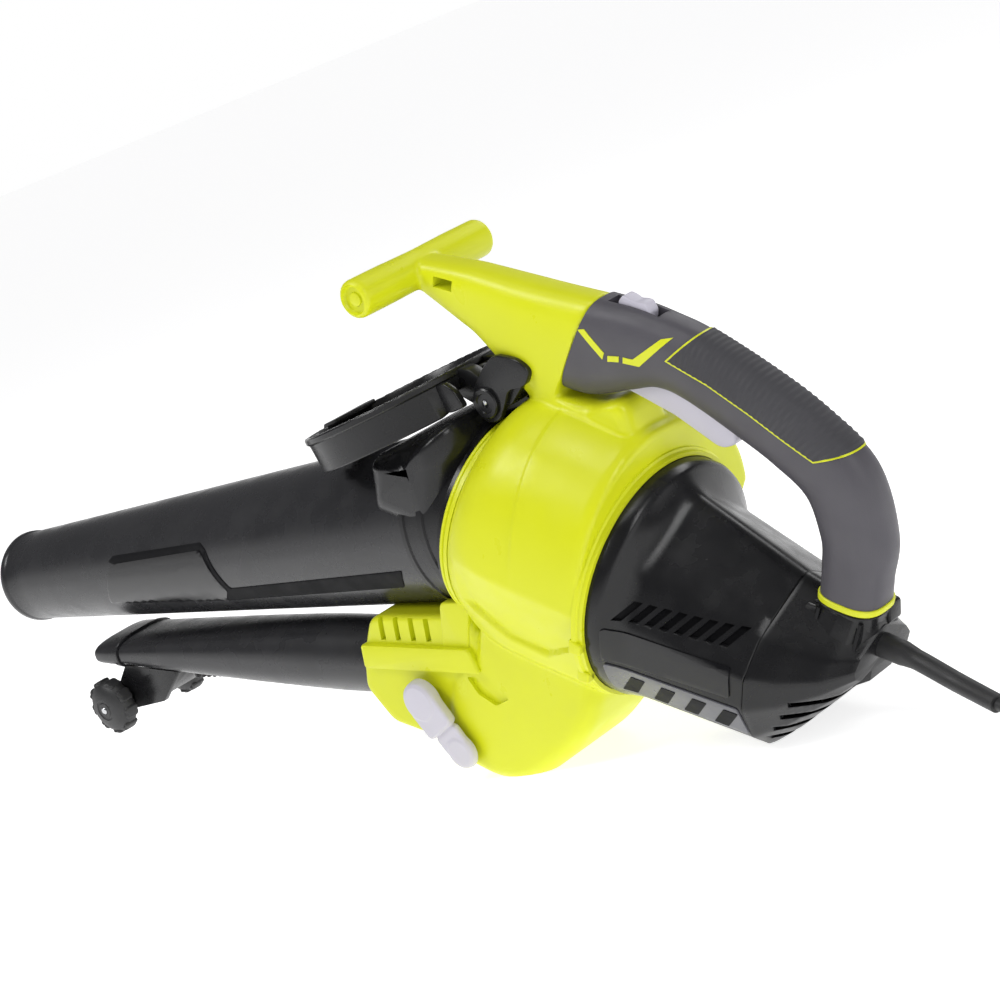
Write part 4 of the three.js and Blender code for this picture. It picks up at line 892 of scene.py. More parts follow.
def make_vacuum_tube(settings):
    start = COLLAR_LENGTH + 0.3
    outer = [(d, vac_radius(d)) for d in np.linspace(start + 1, VAC_LENGTH - 9, 24)]
    tip = vac_radius(VAC_LENGTH)
    profile = [(start, vac_radius(start) - WALL), (start, vac_radius(start) - 0.8), *outer,
               (VAC_LENGTH - 7.4, tip + 0.9), (VAC_LENGTH - 6, tip + 1.6), (VAC_LENGTH - 2, tip + 1.6),
               (VAC_LENGTH - 0.4, tip + 0.9), (VAC_LENGTH, tip - 0.4), (VAC_LENGTH - 0.4, tip - WALL + 0.5),
               (VAC_LENGTH - 2, tip - WALL)]
    tube = plain_object("vacuum_tube_shell", Form().lathe(profile, VAC_START, vac_axis(), 192).mesh("tube"))
    tree = surface_of(tube)
    finish(tube, "tube_black", "housing", ("vacuum_tube",), 30)
    panel = [(-459, -186), (-455, -180), (-346, -121), (-341, -122), (-315, -146), (-322, -160), (-466, -224)]
    plate = laid_on("tube_panel", tree, rounded(panel, 2.5, 3), -1, 0.2, 1.6, 5.0, 0.5)
    finish(plate, "panel_black", "housing")
    strip = laid_on("tube_panel_edge", tree,
                    rounded([(-462, -181), (-457, -174), (-346, -115), (-338, -117), (-311, -142),
                             (-120, -44),
                             (-123, -62), (-321, -160), (-320, -156), (-341, -122), (-346, -121),
                             (-455, -180)],
                            1.5, 2), -1, 0.0, 1.2, 5.0, 0.3)
    finish(strip, "edge_black", "housing")
    # collar that plugs into the flange
    profile = [(-46, vac_radius(-46) - WALL), (-46, vac_radius(-46) + 3), (18, vac_radius(18) + 3.2),
               (19, vac_radius(19) + 4.4), (24, vac_radius(24) + 4.4), (25, vac_radius(25) + 3.2),
               (40, vac_radius(40) + 2.6), (41, vac_radius(41) + 3.6), (45, vac_radius(45) + 3.4),
               (46, vac_radius(46) + 2.4), (46, vac_radius(46) - WALL)]
    collar = plain_object("tube_collar_shell",
                          Form().lathe(profile, VAC_START, vac_axis(), 160).mesh("collar"))
    cut_away(collar, Form().box((INLET_X - 0.3, -200, -200), (200, 200, 200)))
    flange = Form().lathe([(0, EYE_R - 2), (0, 72), (1, 75), (5, 75), (5, EYE_R - 2)],
                          (INLET_X - 5.3, 0, 0), (1, 0, 0), 160)
    flange.lathe([(0, 0), (0, 7), (1.5, 8.6), (5, 9), (5, 0)], (INLET_X - 5.3, 80, 0), (1, 0, 0), 48)
    hood = plain_object("hood", Form().skin(bevelled_prism(
        [(-85, 84), (-104, 70.5), (-132, 50), (-158, 30), (-150, -10), (-80, -10), (-74, 66)],
        -64, 64, 26, 9, 6)).mesh("hood"))
    bore = [(-60, 0), (-60, vac_radius(-60) - 1), (200, vac_radius(200) - 1), (200, 0)]
    cut_away(hood, Form().lathe(bore, VAC_START, vac_axis(), 96))
    join_meshes(collar, [plain_object("flange", flange.mesh("flange")), hood])
    finish(collar, "black_case", "housing", ("tube_collar",), 30)
    knob = Form().lathe([(0, 0), (0, 7), (1, 7), (2, 5.8), (12, 5.4), (13.4, 4.4), (14, 3), (14, 0)],
                        (INLET_X - 5.6, 80, 0), (-1, 0, 0), 48)
    for i in range(10):
        turn = i * math.pi / 5
        y, z = 80 + 5.6 * math.cos(turn), 5.6 * math.sin(turn)
        knob.lathe([(3, 0), (3, 1), (12, 0.9), (12.6, 0)], (INLET_X - 5.6, y, z), (-1, 0, 0), 12)
    knob = plain_object("tube_lock_grip", knob.mesh("knob"))
    finish(knob, "black_case", "housing", ("tube_lock_knob",), 30)


# ---- inlet door --------------------------------------------------------------------------------


def door_ring(size, lift_at, power=2.15, count=144):
    """A rounded ring on the door, lifted by a function of the distance from the hinge."""
    turns = np.linspace(0, 2 * math.pi, count, endpoint=False)
    c, s = np.cos(turns), np.sin(turns)
    along = size * np.sign(c) * np.abs(c) ** (2 / power)
    across = size * np.sign(s) * np.abs(s) ** (2 / power)
    ring = []
    for a, y in zip(along, across):
        distance = DOOR_REACH + a
        ring.append(slanted(DOOR_HINGE, DOOR_SLOPE, distance, lift_at(distance), y))
    return np.array(ring)


def door_side(rows):
    """An outline on the door's side, from distances along it and lifts above its hinge line."""
    points = [slanted(DOOR_HINGE, DOOR_SLOPE, distance, lift) for distance, lift in rows]
    return [(p[0], p[2]) for p in points]


def make_door(settings):
    def low(distance):
        t = min(1.0, max(0.0, (distance - 19) / 9))
        return lerp(20.0, 2.5, t * t * (3 - 2 * t))

    def flat(value):
        return lambda distance: value

    wall = DOOR_R - 2.6
    rings = [
        door_ring(wall - 2.6, lambda d: low(d) + 0.4), door_ring(wall - 0.6, low),
        door_ring(wall, lambda d: low(d) + 0.8), door_ring(wall + 0.8, flat(22)),
        door_ring(wall + 1, flat(24.4)),
        door_ring(DOOR_R - 0.6, flat(25)), door_ring(DOOR_R, flat(25.8)), door_ring(DOOR_R, flat(29)),
        door_ring(DOOR_R - 0.8, flat(30)), door_ring(DOOR_R - 3.4, flat(30)),
        door_ring(DOOR_R - 4, flat(28.6)),
        door_ring(DOOR_R - 5.4, flat(28.6)), door_ring(DOOR_R - 6, flat(30)),
        door_ring(DOOR_R - 8.4, flat(30)),
        door_ring(DOOR_R - 9.2, flat(29)), door_ring(DOOR_R - 12, flat(20.5)),
        door_ring(DOOR_R - 15, flat(18.6)),
        door_ring(57, flat(18)), door_ring(54.6, flat(17.4)), door_ring(54, flat(15.2)),
        door_ring(wall - 6, flat(15.4)), door_ring(wall - 3.2, lambda d: max(low(d) + 1.5, 4)),
    ]
    door = plain_object("inlet_door_shell", Form().skin(rings, loop=True).mesh("door"))
    hinge = Form()
    outline = door_side([(-6, -5), (-6.5, 7), (6, 25), (14, 28.5), (30, 28.5), (30, 14), (12, -4)])
    hinge.skin(bevelled_prism(outline, -18.6, -7, 1.5, 3, 4))
    hinge.skin(bevelled_prism(outline, 7, 18.6, 1.5, 3, 4))
    hinge.skin(bevelled_prism(door_side([(8, 6), (10, 24), (32, 24), (32, 12)]), -9, 9, 1.5, 3, 3))
    hinge.lathe([(0, 3.3), (0, 6.4), (0.8, 7.2), (36.4, 7.2), (37.2, 6.4), (37.2, 3.3)],
                (DOOR_HINGE[0], -18.6, DOOR_HINGE[2]), (0, 1, 0), 48)
    step = door_side([(8, 3), (10, 17), (17, 25), (36, 25), (36, 8), (22, 3)])
    for y0, y1 in ((-37, -31), (31, 37)):
        hinge.skin(bevelled_prism(step, y0, y1, 1.2, 3, 3))
    lip = door_side([(DOOR_REACH + 62, 29), (DOOR_REACH + 62, 32.5), (DOOR_REACH + 77, 32.5),
                     (DOOR_REACH + 80, 27)])
    hinge.skin(bevelled_prism(lip, -22, 22, 1.2, 3, 1.5))
    join_meshes(door, [plain_object("hinge", hinge.mesh("hinge"))])
    finish(door, "black_case", "inlet_door", ("inlet_door",), 30)
    # bars of the grille, over the opening
    half = 62.0
    bars = Form()
    for i in range(settings.door_bars):
        shift = lerp(-56, 56, i / (settings.door_bars - 1))
        reach = math.sqrt(half * half - shift * shift)
        outline = door_side([(DOOR_REACH + shift - 1.6, 16), (DOOR_REACH + shift - 1.4, 21.4),
                             (DOOR_REACH + shift + 1.4, 21.4), (DOOR_REACH + shift + 1.6, 16)])
        bars.skin(bevelled_prism(outline, -reach, reach, 1, 2, 0.8))
    for y in (-42, 0, 42):
        reach = math.sqrt(half * half - y * y) + 2
        outline = door_side([(DOOR_REACH - reach, 16.4), (DOOR_REACH - reach, 22.6),
                             (DOOR_REACH + reach, 22.6),
                             (DOOR_REACH + reach, 16.4)])
        bars.skin(bevelled_prism(outline, y - 2, y + 2, 1, 2, 1.5))
    finish(plain_object("door_grille_bars", bars.mesh("bars")), "black_case", "inlet_door", (), 30)
    # small teeth that stand round the groove of its rim
    tooth = Form().box((-2.2, -0.9, -1.4), (2.2, 0.9, 0.7))
    places = []
    for i in range(settings.door_teeth):
        turn = 2 * math.pi * i / settings.door_teeth
        spot = slanted(DOOR_HINGE, DOOR_SLOPE, DOOR_REACH + (DOOR_R - 4.7) * math.cos(turn), 29.6,
                       (DOOR_R - 4.7) * math.sin(turn))
        places.append((*spot, -math.radians(DOOR_SLOPE), 0))
    teeth = repeat("door_rim_teeth", tooth, places, "black_case")
    finish(teeth, "black_case", "inlet_door", (), 30)
    from_node("door_catch", "door_latch", "black_case", 1.0)
    pin = Form().lathe([(0, 0), (0, 2.2), (0.6, 3), (51.4, 3), (52, 2.2), (52, 0)],
                       (DOOR_HINGE[0], -26, DOOR_HINGE[2]), (0, 1, 0), 32)
    finish(plain_object("door_hinge_pin", pin.mesh("pin")), "bright_steel", "housing",
           ("door_pin",), 30)
    bracket = Form()
    lobe = [(-82, 92), (-81, 106), (-74, 122), (-64, 136), (-44, 139), (-31, 134), (-35, 121), (-50, 113),
            (-52, 104), (-57, 86), (-70, 80)]
    for y0, y1 in ((-25, -19.8), (19.8, 25)):
        bracket.skin(bevelled_prism(lobe, y0, y1, 1.4, 3, 6))
    bracket.skin(bevelled_prism([(-60, 92), (-60, 132), (-44, 137), (-33, 132), (-50, 100)],
                                -21, 21, 1, 2, 3))
    for y, way in ((-24.6, -1), (24.6, 1)):
        bracket.lathe([(0, 3.3), (0, 11.4), (2.4, 11.2), (3.2, 10.2), (3.2, 7.4), (2.4, 6.8), (2.4, 3.3)],
                      (DOOR_HINGE[0] + 3, y, DOOR_HINGE[2] + 1), (0, way, 0), 56)
    bracket = plain_object("door_bracket", bracket.mesh("bracket"))
    finish(bracket, "black_case", "housing", ("hinge_bracket",), 30)


# ---- blow tube and wheels ----------------------------------------------------------------------


def blow_ring(distance, change=0.0, count=80):
    share = min(1.0, max(0.0, (distance - BLOW_ROUND) / (BLOW_LENGTH - BLOW_ROUND)))
    point = slanted(BLOW_START, BLOW_SLOPE, distance)
    return section(*point, BLOW_SLOPE, lerp(BLOW_R, 32, share) + change,
                   lerp(BLOW_R, 9, share ** 1.25) + change, lerp(2, 3, share), count)


def make_blow_tube(settings):
    seam = BLOW_LENGTH - NOZZLE_LENGTH
    steps = np.linspace(-20, seam - 1.5, 40)
    rings = [blow_ring(d) for d in steps] + [blow_ring(seam - 0.6, -0.8)]
    rings += [blow_ring(d, -WALL) for d in (seam - 0.6, *steps[::-1])]
    tube = plain_object("blow_tube_shell", Form().skin(rings, loop=True).mesh("blow"))
    details = Form()
    ring = [blow_ring(d, g) for d, g in ((6, -1), (6, 1.2), (6.8, 2), (10.2, 2), (11, 1.2), (11, -1))]
    details.skin(ring, loop=True)
    join_meshes(tube, [plain_object("details", details.mesh("details"))])
    finish(tube, "tube_black", "housing", ("blow_tube",), 32)
    outer = [(seam + 0.3, -1.0), (seam + 0.3, 1.2), (seam + 1.0, 1.8), (seam + 5, 1.8), (seam + 5.8, 0.9),
             (seam + 14, 0.8), (BLOW_LENGTH - 4, 0.7), (BLOW_LENGTH - 1.2, 0.2), (BLOW_LENGTH, -1.2),
             (BLOW_LENGTH - 0.6, -WALL), (seam + 0.3, -WALL)]
    tip = plain_object("blow_tip_shell",
                       Form().skin([blow_ring(d, g) for d, g in outer], loop=True).mesh("tip"))
    finish(tip, "tube_black", "housing", ("blow_nozzle_tip",), 32)
    # stepped ribs behind the wheel bracket
    rib = Form().skin(bevelled_prism([(-1.3, 0), (-1.3, 13), (1.3, 13), (1.3, 0)], -13, 13, 1, 2, 0.6))
    places = []
    for i in range(5):
        distance = 213 + i * 7.5
        share = (distance - BLOW_ROUND) / (BLOW_LENGTH - BLOW_ROUND)
        point = slanted(BLOW_START, BLOW_SLOPE, distance, -lerp(BLOW_R, 9, share ** 1.25) - 2.5 - i * 1.1)
        places.append((*point, -math.radians(BLOW_SLOPE), 0))
    ribs = repeat("bracket_ribs", rib, places, "black_case")
    finish(ribs, "black_case", "housing", (), 30)
    from_node("wheel_carrier", "wheel_bracket", "black_case", 1.2)


def make_wheels(settings):
    axle = Form().lathe([(0, 0), (0, 2.4), (0.6, 3), (101.4, 3), (102, 2.4), (102, 0)],
                        (AXLE[0], AXLE[1] - 51, AXLE[2]), (0, 1, 0), 32)
    finish(plain_object("wheel_rod", axle.mesh("axle")), "bright_steel", "housing",
           ("wheel_axle",), 30)
    for name, side in (("wheel_left", -1), ("wheel_right", 1)):
        middle = AXLE[1] + side * 39
        profile = [(-11, 3.3), (-11, 6), (-10.2, 7), (-10.2, 8.6), (-10.8, 9.4), (-10.2, 13), (-8.8, 17),
                   (-6.2, 20.6), (-3, 22.6), (3, 22.6), (6.2, 20.6), (8.8, 17), (10.2, 13), (10.8, 9.4),
                   (10.2, 8.6), (10.2, 7), (11, 6), (11, 3.3)]
        wheel = plain_object(name + "_tyre", Form().lathe(
            profile, (AXLE[0], middle, AXLE[2]), (0, 1, 0), 96).mesh(name))
        tread = [(-5.6, 20), (-5, 23.4), (0, 23.9), (5, 23.4), (5.6, 20)]
        block = Form().skin(bevelled_prism(tread, -6.4, 6.4, 2.8, 4, 1.4))
        places = [(AXLE[0], middle, AXLE[2], i * 2 * math.pi / settings.tread_blocks, 0)
                  for i in range(settings.tread_blocks)]
        treads = repeat(name + "_treads", block, places, "black_rubber")
        join_meshes(wheel, [treads])
        finish(wheel, "black_rubber", name, (name,), 32)


# ---- selector ----------------------------------------------------------------------------------


def make_selector(settings):
    outer, inner = -71.5, -62.2
    turn = math.radians(-38)
    end = (SELECTOR[0] + 47 * math.cos(turn), SELECTOR[2] + 47 * math.sin(turn))
    middle = (SELECTOR[0] + 27 * math.cos(turn), SELECTOR[2] + 27 * math.sin(turn))
    form = Form()
    form.lathe([(0, 0), (0, 13), (1.5, 15.5), (4, 16.4), (9.3, 17), (9.3, 0)],
               (SELECTOR[0], outer, SELECTOR[2]),
               (0, 1, 0), 72)
    side = (math.sin(turn), -math.cos(turn))

    def corner(point, reach):
        return (point[0] + side[0] * reach, point[1] + side[1] * reach)

    hub = (SELECTOR[0], SELECTOR[2])
    form.skin(bevelled_prism([corner(hub, 16.5), corner(middle, 16), corner(middle, -16), corner(hub, -16.5)],
                             outer + 1.0, inner, 2.5, 4, 5))
    low = Form()
    low.skin(bevelled_prism([corner(middle, 14), corner(end, 13), corner(end, -13), corner(middle, -14)],
                            outer + 4.0, inner, 2.2, 4, 5))
    low.lathe([(0, 0), (0, 10), (1.2, 12.4), (3, 13.4), (6.3, 13.8), (6.3, 0)], (end[0], outer + 3.0, end[1]),
              (0, 1, 0), 64)
    lever = plain_object("selector_arm", form.mesh("lever"))
    join_meshes(lever, [plain_object("part", low.mesh("part"))])
    melt(lever, 0.55, 5)
    finish(lever, "pale_plastic", "selector", ("selector_lever",), 45)


# ---- motor cover and tail ----------------------------------------------------------------------

COVER_FRONT = [(0, 80), (60, 38), (78, 6), (79, -26), (58, -60), (28, -80)]
COVER_REAR = [(0, 50), (50, 22), (68, -2), (68, -26), (52, -56), (28, -75)]
TAIL_MIDDLE = [(0, 46), (46, 20), (60, -2), (58, -20), (44, -42), (26, -53)]
TAIL_BACK = [(0, 42), (38, 18), (47, 4), (45, -6), (34, -17), (22, -21)]
TAIL_END = [(0, 34), (27, 20), (33, 12), (31, 6), (24, 2), (16, 4)]


def cover_ring(x, half, inset=0.0, round_r=0.0, share=1.0, steps=14, passes=4):
    """A ring of the motor cover, from a circle at share 0 to its flat panels at share 1."""
    left = [(-y, z) for y, z in half[1:]]
    corners = [np.array(c, float) for c in (*half[1:][::-1], half[0], *left)]
    points = []
    for i, start in enumerate(corners):
        end = corners[(i + 1) % len(corners)]
        for step in range(steps):
            points.append(lerp(start, end, step / steps))
    flats = soften(points, passes)
    reach = np.linalg.norm(flats, axis=1)[:, None]
    circle = flats / reach * round_r if round_r else flats
    ring = lerp(circle, flats, share)
    reach = np.linalg.norm(ring, axis=1)[:, None]
    ring = ring * (1 - inset / reach)
    return np.column_stack([np.full(len(ring), x), ring])


def cover_at(x, inset=0.0):
    """The cover's ring at any place along the shaft, on its way from the round collar to its rear."""
    slide = min(1.0, max(0.0, (x - 84) / (COVER_END - 84)))
    half = [tuple(lerp(np.array(a, float), np.array(b, float), slide))
            for a, b in zip(COVER_FRONT, COVER_REAR)]
    t = min(1.0, max(0.0, (x - 80) / 20))
    share = 1 - (1 - t) ** 2.2
    radius = COVER_R if x < 78 else COVER_R - 1.2
    return cover_ring(x, half, inset, radius, share)


def make_motor_cover(settings):
    places = [62.3, 66, 70, 76, 79, 80.5, *np.linspace(82, 100, 10), *np.linspace(106, COVER_END - 1.2, 12)]
    rings = [cover_at(x) for x in places] + [cover_at(COVER_END, 1.0)]
    rings += [cover_at(x, WALL) for x in (COVER_END, 150, 120, 100, 92, 86, 80, 62.3)]
    cover = plain_object("motor_cover_shell", Form().skin(rings, loop=True).mesh("cover"))
    tree = surface_of(cover)
    tools = []
    for side in (-1, 1):
        low, high = (-200, -40) if side < 0 else (40, 200)
        for i in range(settings.louvres):
            x, z = lerp(85, 160, i / (settings.louvres - 1)), lerp(9, 12, i / (settings.louvres - 1))
            tools.append(Form().prism([(x, z), (x + 6, z), (x + 16, z + 13), (x + 10, z + 13)], low, high))
    cut_away(cover, *tools)
    round_edges(cover, 0.5, 1, 40)
    finish(cover, "black_case", "housing", ("motor_cover",), 32)
    # Painted shade: a matte near-black layer just inside the cover, seen through the louvres as the dark of
    # their openings.
    rings = [cover_at(x, 3.4) for x in (64, 79, 86, 92, 100, 120, 150, COVER_END - 2)]
    rings += [cover_at(x, 4.6) for x in (COVER_END - 2, 150, 120, 100, 92, 86, 79, 64)]
    liner = plain_object("motor_cover_liner", Form().skin(rings, loop=True).mesh("liner"))
    finish(liner, "edge_black", "housing", (), 32)
    plate = [(80, -23), (176, -19), (174, 3), (80, 2)]
    band = [(80, -55), (184, -52), (182, -26), (80, -27)]
    for name, side in (("left", -1), ("right", 1)):
        label = laid_on(f"blank_label_{name}", tree, rounded(plate, 2, 3), side, 0.6, 1.4, 4.0, 0.4)
        finish(label, "label_black", "housing", (f"name_plate_{name}",), 40)
        strip = laid_on(f"vent_band_{name}", tree, rounded(band, 3, 3), side, 0.3, 1.8, 4.0, 0.5)
        finish(strip, "vent_grey", "housing", (f"vent_frame_{name}",), 40)
        # Painted shade: thin matte near-black sheets laid on the vent band stand in for the dark inside the
        # vent slots.
        tools = []
        for i in range(4):
            x, z = 86 + i * 24, -53 + i * 0.8
            slot = laid_on(f"vent_slot_{name}_{i}", tree, rounded(
                [(x, z), (x + 11, z), (x + 24, z + 20), (x + 13, z + 20)], 1.2, 2), side, 1.0, 1.4, 4.0)
            tools.append(slot)
        slots = join_meshes(tools[0], tools[1:])
        slots.name = f"vent_slots_{name}"
        finish(slots, "edge_black", "housing", (), 40)


def make_tail(settings):
    def outer(inset=0.0, passes=3):
        stops = [(COVER_END + 0.3, COVER_REAR), (205, TAIL_MIDDLE), (230, TAIL_BACK),
                 (TAIL_X - inset, TAIL_END)]
        rings = []
        for (x0, a), (x1, b) in zip(stops, stops[1:]):
            for t in np.linspace(0, 1, 6, endpoint=False):
                half = [tuple(lerp(np.array(p, float), np.array(q, float), t)) for p, q in zip(a, b)]
                rings.append(cover_ring(lerp(x0, x1, t), half, inset, passes=passes))
        rings.append(cover_ring(stops[-1][0], TAIL_END, inset, passes=passes))
        return rings

    def pinch(ring):
        middle = ring.mean(0)
        return middle + (ring - middle) * 0.05

    skin_rings = outer()
    inner = [pinch(outer(WALL)[-1]), *outer(WALL)[::-1]]
    shell = Form().skin([*skin_rings, pinch(skin_rings[-1]), *inner], loop=True)
    tail = plain_object("tail_shell", shell.mesh("tail"))
    core = outer(4.0)
    for i in range(4):
        slab = plain_object("slab", Form().prism(
            [(190 + i * 7, -62 + i * 14), (300, -46 + i * 14), (300, -41 + i * 14),
             (190 + i * 7, -57 + i * 14)],
            -100, 100).mesh("slab"))
        cut_away(slab, Form().skin(core))
        cutter = tail.modifiers.new("groove", "BOOLEAN")
        cutter.operation = "DIFFERENCE"
        cutter.solver = "EXACT"
        cutter.object = slab
        settle(tail)
        bpy.data.objects.remove(slab)
    round_edges(tail, 0.7, 2, 35)
    stand = Form()
    rows = spline([(222, 14, 22.5, 21.5), (223, 26, 21.6, 22), (224, 40, 20.8, 22.6), (224, 43, 20.8, 23.2),
                   (224, 43.8, 19.8, 22.4)], 4)
    stand.skin([section(x, 0, z, -90, wide, high, 3.0, 72) for x, z, wide, high in rows])
    # flat flutes that flare from the pedestal down into the tail
    rows = [(224, 42, 21.5, 22.5), (222, 30, 25, 25), (216, 14, 33, 31), (208, -4, 45, 40)]
    flutes = plain_object("flutes", Form().skin(
        [section(x, 0, z, -90, wide, high, 2.4, 14) for x, z, wide, high in rows]).mesh("flutes"))
    round_edges(flutes, 0.9, 2, 12)
    join_meshes(tail, [plain_object("stand", stand.mesh("stand")), flutes])
    finish(tail, "black_case", "housing", ("rear_cover",), 32)
    # fins round the pedestal
    fin = Form().skin(bevelled_prism([(-17, -10), (-5, 16), (2.5, 16), (2.5, -10)], -1.3, 1.3, 0.5, 2, 1.5))
    places = []
    for i in range(-3, 4):
        places.append((205.5 - abs(i) * 0.6, i * 6.2, 24, 0, 0))
    fins = repeat("pedestal_fins", fin, places, "black_case")
    side_fin = Form()
    for side in (-1, 1):
        for i in range(5):
            x = 207 + i * 8
            points = [(x, side * 20, 40), (x + 2.4, side * 20, 40), (x + 2.4, side * 29, 12),
                      (x, side * 29, 12)]
            inner_points = [(x, side * 17, 40), (x + 2.4, side * 17, 40), (x + 2.4, side * 17, 10),
                            (x, side * 17, 10)]
            side_fin.skin([points, inner_points])
    join_meshes(fins, [plain_object("side_fins", side_fin.mesh("side_fins"))])
    round_edges(fins, 0.4, 1, 40)
    finish(fins, "black_case", "housing", (), 32)
    hook = Form().skin(bevelled_prism([(236, 30), (235, 47), (247, 46), (248.5, 32)], 4, 18, 1.5, 3, 2.5))
    finish(plain_object("cord_catch", hook.mesh("hook")), "black_case", "housing", (), 32)


# ---- main handle -------------------------------------------------------------------------------

HANDLE_ROWS = [
    (-24, 160, 0, 2, 37, 3.2), (10, 160, 0, 2, 36, 3.2), (43, 169, 4, 1, 30, 3), (66, 173, 0, 0, 25.5, 2.8),
    (92, 171, -6, 0, 25, 2.6), (137, 159, -16, 0, 26, 2.5), (174, 146, -32, 0, 26.5, 2.5),
    (207, 127, -52, 0, 27.5, 2.5), (223, 92, -78, 0, 26, 2.5), (224, 66, -90, 0, 23.5, 2.6),
    (224, 49, -90, 1, 22.5, 2.8),
]


def handle_rings(change=0.0, start=0, end=11, steps=10, ripple=None, count=96):
    rows = spline(HANDLE_ROWS, steps)[start * steps:(end - 1) * steps + 1]
    rings = []
    run = 0.0
    for i, (x, z, slope, wider, high, power) in enumerate(rows):
        if i:
            run += math.hypot(x - rows[i - 1][0], z - rows[i - 1][1])
        grow = change + (ripple(run) if ripple else 0.0)
        rings.append(section(x, 0, z, slope, GRIP_HALF + wider + grow, high + grow, power, count))
    return rings


GRIP_EDGE = [(80, 177), (98, 199), (104, 225), (250, 225), (250, 176), (223, 157), (196, 144.5), (172, 152),
             (146, 161), (112, 171)]


def grown(outline, amount):
    """An outline moved out from its own middle line by an amount, corner by corner."""
    points = np.array(outline, float)
    out = []
    area = 0.0
    for a, b in zip(points, np.roll(points, -1, 0)):
        area += a[0] * b[1] - b[0] * a[1]
    way = 1 if area > 0 else -1
    for i, corner in enumerate(points):
        before = corner - points[i - 1]
        after = points[(i + 1) % len(points)] - corner
        normals = [np.array([d[1], -d[0]]) / np.linalg.norm(d) * way for d in (before, after)]
        middle = normals[0] + normals[1]
        middle = middle / max(0.3, np.dot(middle, normals[0]))
        out.append(corner + middle * amount)
    return [tuple(p) for p in out]


def keep_inside(thing, outline):
    """Keeps what lies within an (x, z) outline."""
    tool = plain_object("keep", Form().prism(outline, -60, 60).mesh("keep"))
    keeper = thing.modifiers.new("keep", "BOOLEAN")
    keeper.operation = "INTERSECT"
    keeper.solver = "EXACT"
    keeper.object = tool
    settle(thing)
    bpy.data.objects.remove(tool)
    return thing


def sleeve(name, change, depth, start, end, steps, ripple=None):
    """A thin skin round the handle."""
    rings = handle_rings(change, start, end, steps, ripple)
    rings += handle_rings(change - depth, start, end, 8)[::-1]
    return plain_object(name, Form().skin(rings, loop=True).mesh(name))


def make_handle(settings):
    handle = plain_object("main_handle", Form().skin(handle_rings()).mesh("handle"))
    lean = math.radians(18)
    ahead = np.array([math.cos(lean), -math.sin(lean)])
    side = np.array([math.sin(lean), math.cos(lean)])
    start = np.array([2.0, 165.0]) + ahead * 0.5
    front = Form().prism([tuple(c) for c in (start - side * 300, start - ahead * 300 - side * 300,
                                             start - ahead * 300 + side * 300, start + side * 300)], -200,
                                             200)
    trigger_room = Form().prism([(22, 120), (60, 104), (140, 96), (137, 153), (90, 163.5), (34, 163.5),
                                 (22, 155)],
                                -9.4, 9.4)
    slider_room = Form().box((20, -6, 191), (62, 6, 230))
    cut_away(handle, front, trigger_room, slider_room)
    round_edges(handle, 1.0, 2, 40)
    tree = surface_of(handle)
    finish(handle, "soft_grip", "housing", ("handle_left", "handle_right"), 34)
    edge = sleeve("grip_outline", 0.55, 1.4, 3, 9, 12)
    keep_inside(edge, grown(GRIP_EDGE, 1.3))
    finish(edge, "mark_green", "housing", (), 34)

    def ripple(run):
        return 0.28 * math.sin(2 * math.pi * run * MM / settings.rib_pitch)

    grip = sleeve("grip_ribs", 0.95, 1.8, 3, 9, 52, ripple)
    keep_inside(grip, GRIP_EDGE)
    finish(grip, "ribbed_rubber", "housing", ("grip_insert",), 60)
    marks = [
        [(6.5, 176.5), (11.5, 178.5), (29, 166.5), (27.8, 161.5)],
        [(32, 161.2), (32, 165.4), (41, 167.8), (41, 163.6)],
        [(44.4, 164), (44.3, 168.2), (52, 169), (72.4, 189.5), (80.5, 192.4), (57.5, 165.4)],
    ]
    pieces = [laid_on(f"mark_{i}", tree, outline, -1, 0.1, 0.7, 3.0) for i, outline in enumerate(marks)]
    pieces += [laid_on(f"mark_{i + 3}", tree, outline, 1, 0.1, 0.7, 3.0) for i, outline in enumerate(marks)]
    mark = join_meshes(pieces[0], pieces[1:])
    mark.name = "speed_marks"
    finish(mark, "mark_green", "housing", (), 34)
    ring = Form()
    stops = [(44.2, -3.0), (44.2, 0.2), (44.8, 0.8), (48.2, 0.8), (48.8, 0.2), (48.8, -3.0)]
    ring.skin([section(224, 0, z, -90, 20.4 + g, 22.9 + g, 2.8, 96) for z, g in stops], loop=True)
    finish(plain_object("foot_band", ring.mesh("ring")), "mark_green", "housing",
           ("handle_foot_ring",), 34)


def make_controls(settings):
    outline = [(26, 139), (44, 138), (84, 131), (119, 121), (130, 128), (127, 143), (84, 152), (36, 154),
               (27, 149)]
    trigger = Form().skin(bevelled_prism(outline, -8.5, 8.5, 2.2, 5, 5))
    trigger = plain_object("trigger_lever", trigger.mesh("trigger"))
    finish(trigger, "pale_plastic", "trigger", ("trigger",), 34)
    slider = Form().skin(bevelled_prism(
        [(28, 192), (54, 192), (54, 198), (50, 203.2), (46, 203.2), (41, 201.8), (36, 203.2), (31, 203.6),
         (28, 199)],
        -5.2, 5.2, 1.0, 3, 1.6))
    slider = plain_object("speed_slide", slider.mesh("slider"))
    finish(slider, "pale_plastic", "speed_slider", ("speed_slider",), 34)


# ---- cord guard, cord and plug -----------------------------------------------------------------

